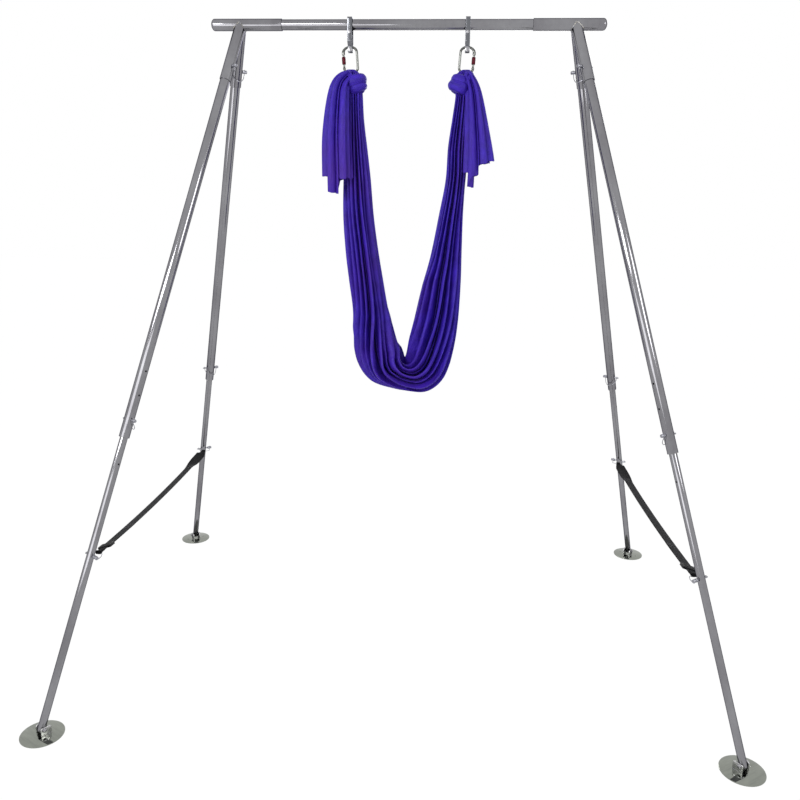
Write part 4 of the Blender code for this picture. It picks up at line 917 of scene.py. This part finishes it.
def smooth_through(stations, row):
    """Catmull-Rom curve through tuples of metres, with points no further apart than a row."""
    points, last = [], len(stations) - 1
    for index in range(last):
        p0, p1 = stations[max(index - 1, 0)], stations[index]
        p2, p3 = stations[index + 1], stations[min(index + 2, last)]
        steps = max(2, math.ceil(max(abs(c - b) for b, c in zip(p1[:4], p2[:4])) / row))
        for step in range(steps):
            t = step / steps
            points.append(tuple(0.5 * (2 * b + (c - a) * t + (2 * a - 5 * b + 4 * c - d) * t * t
                                       + (3 * b - a - 3 * c + d) * t ** 3)
                                for a, b, c, d in zip(p0, p1, p2, p3)))
    points.append(tuple(stations[last]))
    return points


# Hammock

CLOTH_WIDTH, CLOTH_LENGTH = 2.8, 5.0
PLEATS, TAIL_PLEATS, WRAP_PLEATS, POINTS_A_PLEAT = 34, 12, 5, 8
ROW, TAIL_ROW = 0.016, 0.008

# Outlines of the gathered cloth seen from the front, from its left knot to its right one: share of the
# way between the carabiners and drop below their bottoms, for the outer edge and then the inner one;
# then half its depth and how deep its pleats go
HAMMOCK_STATIONS = [
    (-0.036, -0.015, 0.028, -0.015, 0.005, 0.10), (-0.069, 0.001, 0.073, 0.001, 0.021, 0.35),
    (-0.069, 0.039, 0.089, 0.039, 0.036, 0.55), (-0.056, 0.090, 0.102, 0.090, 0.036, 0.82),
    (-0.048, 0.197, 0.115, 0.196, 0.052, 0.88), (-0.061, 0.326, 0.147, 0.325, 0.062, 0.90),
    (-0.069, 0.457, 0.177, 0.456, 0.070, 0.90), (-0.070, 0.602, 0.206, 0.623, 0.078, 0.90),
    (-0.053, 0.772, 0.249, 0.782, 0.086, 0.90), (-0.024, 0.923, 0.293, 0.909, 0.096, 0.90),
    (0.004, 1.053, 0.347, 1.050, 0.106, 0.90), (0.015, 1.173, 0.410, 1.165, 0.116, 0.90),
    (0.055, 1.300, 0.462, 1.236, 0.124, 0.90), (0.180, 1.395, 0.486, 1.262, 0.130, 0.90),
    (0.390, 1.436, 0.496, 1.274, 0.132, 0.90), (0.570, 1.449, 0.502, 1.276, 0.132, 0.90),
    (0.751, 1.438, 0.509, 1.270, 0.130, 0.90), (0.885, 1.362, 0.522, 1.244, 0.126, 0.90),
    (0.960, 1.235, 0.546, 1.177, 0.118, 0.90), (0.999, 1.091, 0.587, 1.090, 0.106, 0.90),
    (1.014, 0.914, 0.655, 0.935, 0.096, 0.90), (1.014, 0.764, 0.729, 0.790, 0.086, 0.90),
    (1.016, 0.595, 0.796, 0.608, 0.078, 0.90), (1.030, 0.441, 0.849, 0.453, 0.070, 0.90),
    (1.040, 0.322, 0.864, 0.312, 0.062, 0.90), (1.046, 0.194, 0.897, 0.184, 0.052, 0.88),
    (1.046, 0.092, 0.918, 0.092, 0.036, 0.82), (1.060, 0.046, 0.908, 0.046, 0.036, 0.55),
    (1.066, 0.001, 0.924, 0.001, 0.021, 0.35), (1.036, -0.015, 0.972, -0.015, 0.005, 0.10)]

TAIL_STATIONS = {
    LEFT: [(0.010, -0.020, 0.012, 0.026, 0.020), (0.046, -0.046, 0.072, 0.046, 0.024),
           (0.056, -0.078, 0.252, 0.064, 0.026), (0.052, -0.094, 0.440, 0.070, 0.022),
           (0.052, -0.096, 0.527, 0.068, 0.018)],
    RIGHT: [(0.011, -0.018, 0.012, 0.024, 0.020), (0.036, -0.038, 0.085, 0.036, 0.024),
            (0.055, -0.068, 0.242, 0.054, 0.026), (0.070, -0.080, 0.392, 0.070, 0.022),
            (0.072, -0.082, 0.493, 0.074, 0.018)]}

# How much of each tail's length hangs at places across it, from its left edge to its right
HEMS = {LEFT: ((-1, 0.86), (-0.72, 0.87), (-0.62, 0.97), (0.0, 1.0), (0.30, 0.99), (0.38, 0.88), (1, 0.87)),
        RIGHT: ((-1, 0.86), (-0.72, 0.88), (-0.66, 1.0), (-0.50, 0.98), (-0.42, 0.90), (-0.1, 0.87),
                (0.0, 0.81), (0.5, 0.80), (1, 0.78))}

# The two bands of each knot: middle from the carabiner's lowest point as outwards, y and z, loop's half
# width and depth, half thickness, tilt in degrees, start in radians, turns, noise seed and rise
KNOT_BANDS = (((-0.022, -0.004, -0.050), 0.026, 0.026, 0.036, -16, 0.4, 1.1, 39.0, 0.010),
              ((0.004, -0.006, -0.030), 0.028, 0.026, 0.019, 68, 2.4, 1.05, 49.0, 0.008))


def hem_at(side, place):
    table = HEMS[side]
    for (a, low), (b, high) in zip(table, table[1:]):
        if place <= b:
            return low + (high - low) * (place - a) / (b - a)
    return table[-1][1]


def pleated_ring(centre, along, across, breadth, depth, deep, at, pleats, seed, twist=0.0):
    """Open ring of a gathered cloth, as far as breadth along and depth across. Every second pleat is
    broad and shows, and the ones between are narrow and lie deeper. They differ in width and height and
    wander along the cloth; twist turns them round its middle."""
    count = pleats * POINTS_A_PLEAT
    ring = []
    for step in range(count + 1):
        share = step / count
        pleat = share * pleats
        drift = 1.1 * noise.noise(Vector((pleat * 0.30, at * 0.7, seed)))
        tall = 0.5 + 0.5 * math.cos(math.tau * (pleat + drift))
        broad = math.cos(math.pi * (pleat + drift))
        own = math.floor(pleat + drift + 0.5)
        height = 0.94 + 0.22 * noise.noise(Vector((own * 1.7, at * 1.1, seed + 9)))
        lobed = share * 5 + noise.noise(Vector((share * 4, at, seed)))
        lobe = 1 - 0.10 * deep * math.cos(math.tau * lobed)
        reach = min(1.0, height) * lobe * (1 - 0.17 * (1 - broad)) * (1 - deep * (1 - tall) ** 2.4)
        turn = math.tau * share + twist + 0.16 * (1 - tall) * math.sin(0.9 * at + share * 9)
        turn += 0.85 / pleats * 2 * math.sin(math.pi * (pleat + drift))
        ring.append((reach * math.cos(turn), reach * math.sin(turn)))
    low, high = min(a for a, _ in ring), max(a for a, _ in ring)
    near, far = min(b for _, b in ring), max(b for _, b in ring)
    return [centre + along * breadth * (-1 + 2 * (a - low) / (high - low))
            + across * depth * (-1 + 2 * (b - near) / (far - near)) for a, b in ring]


def saddle(side):
    return carabiner_frame(side) @ Vector((0, 0, -CARABINER_SIDE - CARABINER_BOTTOM))


def hammock_sling():
    """The U of the cloth. Its pleats roll outwards as they pass the bottom, so that they cross it."""
    left, right = saddle(LEFT), saddle(RIGHT)
    places = []
    for out_share, out_drop, in_share, in_drop, depth, deep in HAMMOCK_STATIONS:
        outer = left.lerp(right, out_share) - Z * out_drop
        inner = left.lerp(right, in_share) - Z * in_drop
        places.append((outer.x, outer.z, inner.x, inner.z, depth, deep))
    line = smooth_through(places, ROW)
    middles = [Vector(((a + c) / 2, 0, (b + d) / 2)) for a, b, c, d, *_ in line]
    metres = lengths_of(middles)
    rows = []
    for middle, at, (out_x, out_z, in_x, in_z, depth, deep) in zip(middles, metres, line):
        across = Vector((out_x - in_x, 0, out_z - in_z))
        through = at / metres[-1] - 0.50
        twist = 0.30 * math.exp(-((through + 0.2) / 0.1) ** 2) - 0.95 * (1 + math.tanh(through / 0.12))
        rows.append(pleated_ring(middle, across.normalized(), -Y, across.length / 2, depth, deep, at,
                                 PLEATS, 3.0, twist))
    return sheet_from(rows, CLOTH_WIDTH, metres)


def hammock_tail(side):
    """Loose end of the cloth, gathered at the knot and opening out to a slanting, stepped hem."""
    line = smooth_through(TAIL_STATIONS[side], TAIL_ROW)
    knot = saddle(side)
    middles = [knot + Vector((side * out, y, -drop)) for out, y, drop, *_ in line]
    metres = lengths_of(middles)
    rows = []
    for index, (_, _, _, breadth, thickness) in enumerate(line):
        before, after = middles[max(index - 1, 0)], middles[min(index + 1, len(line) - 1)]
        tangent = (after - before).normalized()
        outwards = Y.cross(tangent).normalized()
        across = tangent.cross(outwards)
        deep = 0.85 - 0.20 * metres[index] / metres[-1]
        rows.append(pleated_ring(middles[index], -outwards, -across, breadth, thickness * 1.5, deep,
                                 metres[index] * 0.8, TAIL_PLEATS, 20.0 + side))
    count, last = len(rows[0]), len(rows) - 1
    for column in range(count):
        share = column / (count - 1)
        curl = 0.012 * noise.noise(Vector((share * 60, 4.0 * side, 1.0)))
        keep = hem_at(side, math.cos(math.tau * share)) - 0.02 + curl
        moved = []
        for index in range(last + 1):
            at = index * keep
            low = min(int(at), last - 1)
            moved.append(rows[low][column].lerp(rows[low + 1][column], at - low))
        for index in range(last + 1):
            rows[index][column] = moved[index]
    return sheet_from(rows, CLOTH_WIDTH, [-metre for metre in metres])


def knot_wrap(side, centre, major, minor, thick, tilt, start, turns, seed, rise):
    """Band of gathered cloth wound round the neck of the hammock; the right side mirrors the left."""
    frame_at = pointing_up(centre, Z, X * -side) @ Matrix.Rotation(math.radians(tilt), 4, "Y")
    sweep = turns * math.tau
    rows, metres = [], []
    for share in spaced(0, 1, 72):
        turn = start + sweep * share
        spoke = Vector((math.cos(turn), -side * math.sin(turn), 0))
        middle = Vector((major * spoke.x, minor * spoke.y, rise * (share - 0.5)))
        radius = thick * (0.55 + 0.45 * max(0.0, math.sin(math.pi * share)) ** 0.35)
        ring = pleated_ring(middle, spoke, Z * -side, radius * 0.85, radius * 1.10, 0.16, share * 0.5,
                            WRAP_PLEATS, seed)
        rows.append([frame_at @ point for point in ring])
        metres.append(share * sweep * major)
    return sheet_from(rows, 0.9, metres)


def build_hammock():
    parts = [hammock_sling(), hammock_tail(LEFT), hammock_tail(RIGHT)]
    for side in SIDES:
        for (out, y, z), *band in KNOT_BANDS:
            parts.append(knot_wrap(side, saddle(side) + Vector((side * out, y, z)), *band))
    piece = finished("yoga_hammock", joined(*parts), UNTURNED, CLOTH, "violet_cloth", "left_suspension",
                     "hammock_cloth", angle=180)


# Side straps

def strap_eye(leg):
    """Middle of the strap's eye on the pulled bow."""
    place = pin_frame(leg, STRAP_PIN_AT, PIN_REACH / 2, True)
    wire = bow_route(*PULLED_BOW, pin_hand(place, leg))
    return min((place @ point for point in wire[3:-6]), key=lambda point: abs(point.y))


def ribbon(stations, thickness):
    """Webbing along (centre, width, roll) stations, with its thickness and UVs in metres. It is cupped
    a little across."""
    middles = [centre for centre, _, _ in stations]
    rows = []
    for index, (centre, width, roll) in enumerate(stations):
        before, after = middles[max(index - 1, 0)], middles[min(index + 1, len(middles) - 1)]
        along = (after - before).normalized()
        up = X.cross(along).normalized()
        if up.z < 0:
            up.negate()
        wide = X * math.cos(roll) + up * math.sin(roll)
        thin = wide.cross(along).normalized()
        rows.append([centre + wide * share * width / 2 + thin * 0.0007 * (1 - share * share)
                     for share in spaced(-1, 1, 12)])
    bm = sheet_from(rows, WEBBING_WIDTH, lengths_of(middles))
    bmesh.ops.recalc_face_normals(bm, faces=bm.faces)
    bmesh.ops.solidify(bm, geom=bm.faces[:], thickness=thickness)
    return bm


def build_straps():
    bore, wall, half = EYE_BORE / 2, WEBBING_THICKNESS, WEBBING_THICKNESS / 2
    for side, name in SIDES.items():
        low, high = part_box(f"{name}_strap")
        x = (low.x + high.x) / 2
        front, rear = (Vector((x, edge - end * (bore + wall), strap_eye(LEGS[side, end]).z))
                       for end, edge in ((FRONT, low.y), (REAR, high.y)))
        span = rear.y - front.y
        seam_on_front = FRONT_FOLD - SEAM_FAR, FRONT_FOLD - SEAM_NEAR
        seam_on_rear = span - REAR_FOLD + SEAM_NEAR, span - REAR_FOLD + SEAM_FAR

        def centre_at(distance):
            share = distance / span
            height = front.z + (rear.z - front.z) * share - STRAP_SAG * 4 * share * (1 - share)
            return Vector((x, front.y + distance, height))

        def width_at(distance):
            past_eye = (min(distance, span - distance) - bore - wall) / WEBBING_WIDTH
            return EYE_WIDTH + (WEBBING_WIDTH - EYE_WIDTH) * min(1.0, max(0.0, past_eye)) ** 0.8

        def roll_at(distance):
            stops = ((bore + EYE_NECK, 0), (BUCKLE_AT - BUCKLE_LENGTH, FRONT_ROLL),
                     (BUCKLE_AT + BUCKLE_LENGTH, FRONT_ROLL), (FRONT_FOLD, MIDDLE_ROLL),
                     (span - REAR_FOLD, MIDDLE_ROLL), (span - 2 * REAR_TURN, REAR_ROLL),
                     (span - REAR_TURN, REAR_ROLL), (span - bore - EYE_NECK, 0))
            if not stops[0][0] < distance < stops[-1][0]:
                return 0.0
            for (a, low_roll), (b, high_roll) in zip(stops, stops[1:]):
                if distance <= b:
                    t = (distance - a) / (b - a)
                    return -side * (low_roll + (high_roll - low_roll) * t * t * (3 - 2 * t))

        def station(distance, lift):
            """Place in the webbing, moved square to its face, with its width and roll there."""
            roll = roll_at(distance)
            square = Vector((-math.sin(roll), 0, math.cos(roll)))
            return centre_at(distance) + square * lift, width_at(distance), roll

        def curl(eye, end):
            return [(eye + Vector((0, -end * out, up)), EYE_WIDTH, 0.0)
                    for out, up in arc(0, 0, bore + half, 72, 288, 14)]

        def stitched(start, stop, face):
            """Thread round a box and across it, on one face of the webbing."""
            edge = SEAM_WIDTH / 2
            corners = [(start, -edge), (start, edge), (stop, edge), (stop, -edge), (start, -edge),
                       (stop, edge), (stop, -edge), (start, edge)]
            run = []
            for (a, from_edge), (b, to_edge) in zip(corners, corners[1:]):
                for share in spaced(0, 1, 12)[:-1]:
                    place, _, roll = station(a + (b - a) * share, face * (wall + 0.0002))
                    wide = Vector((math.cos(roll), 0, math.sin(roll)))
                    run.append(place + wide * (from_edge + (to_edge - from_edge) * share))
            return wire_along(run, THREAD_RADIUS, 8, smooth=False)

        near = [d for d in spaced(0, FRONT_FOLD, int(FRONT_FOLD / STRAP_STEP)) if d > bore + PAST_EYE]
        far = [d for d in spaced(span - REAR_FOLD, span, int(REAR_FOLD / STRAP_STEP))
               if span - d > bore + PAST_EYE]
        middle = spaced(FRONT_FOLD + 0.004, span - REAR_FOLD - 0.004, 110)
        route = [station(d, -half) for d in reversed(near)] + curl(front, FRONT)[::-1]
        route += [station(d, half) for d in near + middle + far]
        route += curl(rear, REAR) + [station(d, -half) for d in reversed(far)]
        strap = finished(f"{name}_side_strap", ribbon(route, wall * 0.80), UNTURNED, WEBBING,
                         "black_webbing", "frame", f"{name}_strap", angle=50)
        seams = [stitched(*ends, face) for ends in (seam_on_front, seam_on_rear) for face in (1, -1)]
        seam = finished(f"{name}_strap_stitching", joined(*seams), UNTURNED, THREAD, "black_webbing",
                        "frame", angle=60)
        build_buckle(name, -side * FRONT_ROLL)


def build_buckle(name, roll):
    """Sliding buckle: rounded frame with a middle bar under the webbing."""
    low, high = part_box(f"{name}_strap_buckle")
    wide, thick = WEBBING_WIDTH + 2 * BUCKLE_BAR + 0.001, 2 * WEBBING_THICKNESS + 0.001
    rim = cut(block((wide, BUCKLE_LENGTH, thick + BUCKLE_BAR)),
              [block((wide - 2 * BUCKLE_BAR, 2 * BUCKLE_LENGTH, thick))])
    round_edges(rim, 0.0012, 3)
    window = (wide - 2.6 * BUCKLE_BAR, WINDOW_LENGTH, WINDOW_DEPTH)
    rim = cut(rim, [block(window, (0, flip * WINDOW_AT, face * WINDOW_FACE))
                    for flip in (-1, 1) for face in (-1, 1)])
    tilt = math.atan(-STRAP_SAG * 4 / STRAP_RUN)
    place = Matrix.Translation((low + high) / 2)
    place = place @ Matrix.Rotation(tilt, 4, "X") @ Matrix.Rotation(-roll, 4, "Y")
    finished(f"{name}_slide_buckle", rim, place, PLASTIC, "buckle_plastic", "frame", f"{name}_strap_buckle")


# Studio

CAMERA_PLACE, LENS = (0.2061, -3.6405, 2.0947), 34.58
YAW, PITCH, ROLL = -0.0587, -0.2370, 0.0124


def build_camera():
    yaw, pitch, roll = YAW, PITCH, ROLL
    forward = Vector((math.sin(yaw) * math.cos(pitch), math.cos(yaw) * math.cos(pitch), math.sin(pitch)))
    level = Vector((math.cos(yaw), -math.sin(yaw), 0))
    above = level.cross(forward)
    right = level * math.cos(roll) + above * math.sin(roll)
    up = above * math.cos(roll) - level * math.sin(roll)
    data = bpy.data.cameras.new("studio_camera")
    data.sensor_width = 36
    data.lens = LENS
    data.clip_end = 100
    camera = bpy.data.objects.new("studio_camera", data)
    camera.matrix_world = axes_matrix(Vector(CAMERA_PLACE), right, up, -forward)
    scene.collection.objects.link(camera)
    scene.camera = camera


def area_light(name, place, aim, size, power):
    data = bpy.data.lights.new(name, "AREA")
    data.shape = "RECTANGLE"
    data.size, data.size_y = size
    data.energy = power
    light = bpy.data.objects.new(name, data)
    light.matrix_world = pointing_up(Vector(place), Vector(place) - Vector(aim), X)
    scene.collection.objects.link(light)


def build_studio():
    floor = bmesh.new()
    bmesh.ops.create_grid(floor, x_segments=1, y_segments=1, size=30)
    mesh = bpy.data.meshes.new("studio_floor")
    floor.to_mesh(mesh)
    floor.free()
    material, tree, shader = finish("studio_floor", (0.62, 0.62, 0.62), 0.9)
    white = node(tree, "ShaderNodeEmission", {"Color": (1, 1, 1, 1), "Strength": 1.04})
    fade = node(tree, "ShaderNodeMath", {0: shows_backdrop(tree), 1: 0.94}, operation="MULTIPLY")
    mixed = node(tree, "ShaderNodeMixShader",
                 {0: fade.outputs[0], 1: shader.outputs[0], 2: white.outputs[0]})
    tree.links.new(mixed.outputs[0], tree.nodes["Material Output"].inputs["Surface"])
    mesh.materials.append(material)
    ground = bpy.data.objects.new("studio_floor", mesh)
    scene.collection.objects.link(ground)
    build_world()
    area_light("key_light", (-3.1, -4.1, 3.8), (-0.4, -0.2, 1.9), (3.2, 0.9), 125)
    area_light("fill_light", (3.4, -2.6, 3.4), (0.6, -0.3, 1.9), (1.4, 1.6), 50)
    area_light("back_light", (0.6, 3.6, 3.4), (0, 0, 1.8), (2.4, 1.0), 40)
    area_light("broad_light", (-2.2, -4.2, 1.7), (0, 0, 1.5), (3.6, 1.8), 45)
    scene.view_settings.view_transform = "Standard"


def build_world():
    """Soft room light, and the white backdrop that the camera, the metal and clear pieces see."""
    world = bpy.data.worlds.new("studio")
    scene.world = world
    world.use_nodes = True
    tree = world.node_tree
    tree.nodes.clear()
    room = node(tree, "ShaderNodeBackground", {"Color": (0.95, 0.97, 1.0, 1), "Strength": 0.60})
    backdrop = node(tree, "ShaderNodeBackground", {"Color": (1, 1, 1, 1), "Strength": 1.0})
    mixed = node(tree, "ShaderNodeMixShader", {0: shows_backdrop(tree), 1: room.outputs[0],
                                               2: backdrop.outputs[0]})
    output = node(tree, "ShaderNodeOutputWorld")
    tree.links.new(mixed.outputs[0], output.inputs["Surface"])


def shows_backdrop(tree):
    """1 for the rays of the camera and for those that metal and clear pieces send on."""
    path = node(tree, "ShaderNodeLightPath")
    seen = path.outputs["Is Camera Ray"]
    for ray in ("Is Glossy Ray", "Is Transmission Ray"):
        seen = node(tree, "ShaderNodeMath", {0: seen, 1: path.outputs[ray]}, operation="MAXIMUM").outputs[0]
    return seen


build_crossbar()
build_heads()
build_legs()
build_pins()
build_feet()
build_hangers()
build_carabiners()
build_hammock()
build_straps()
build_camera()
build_studio()
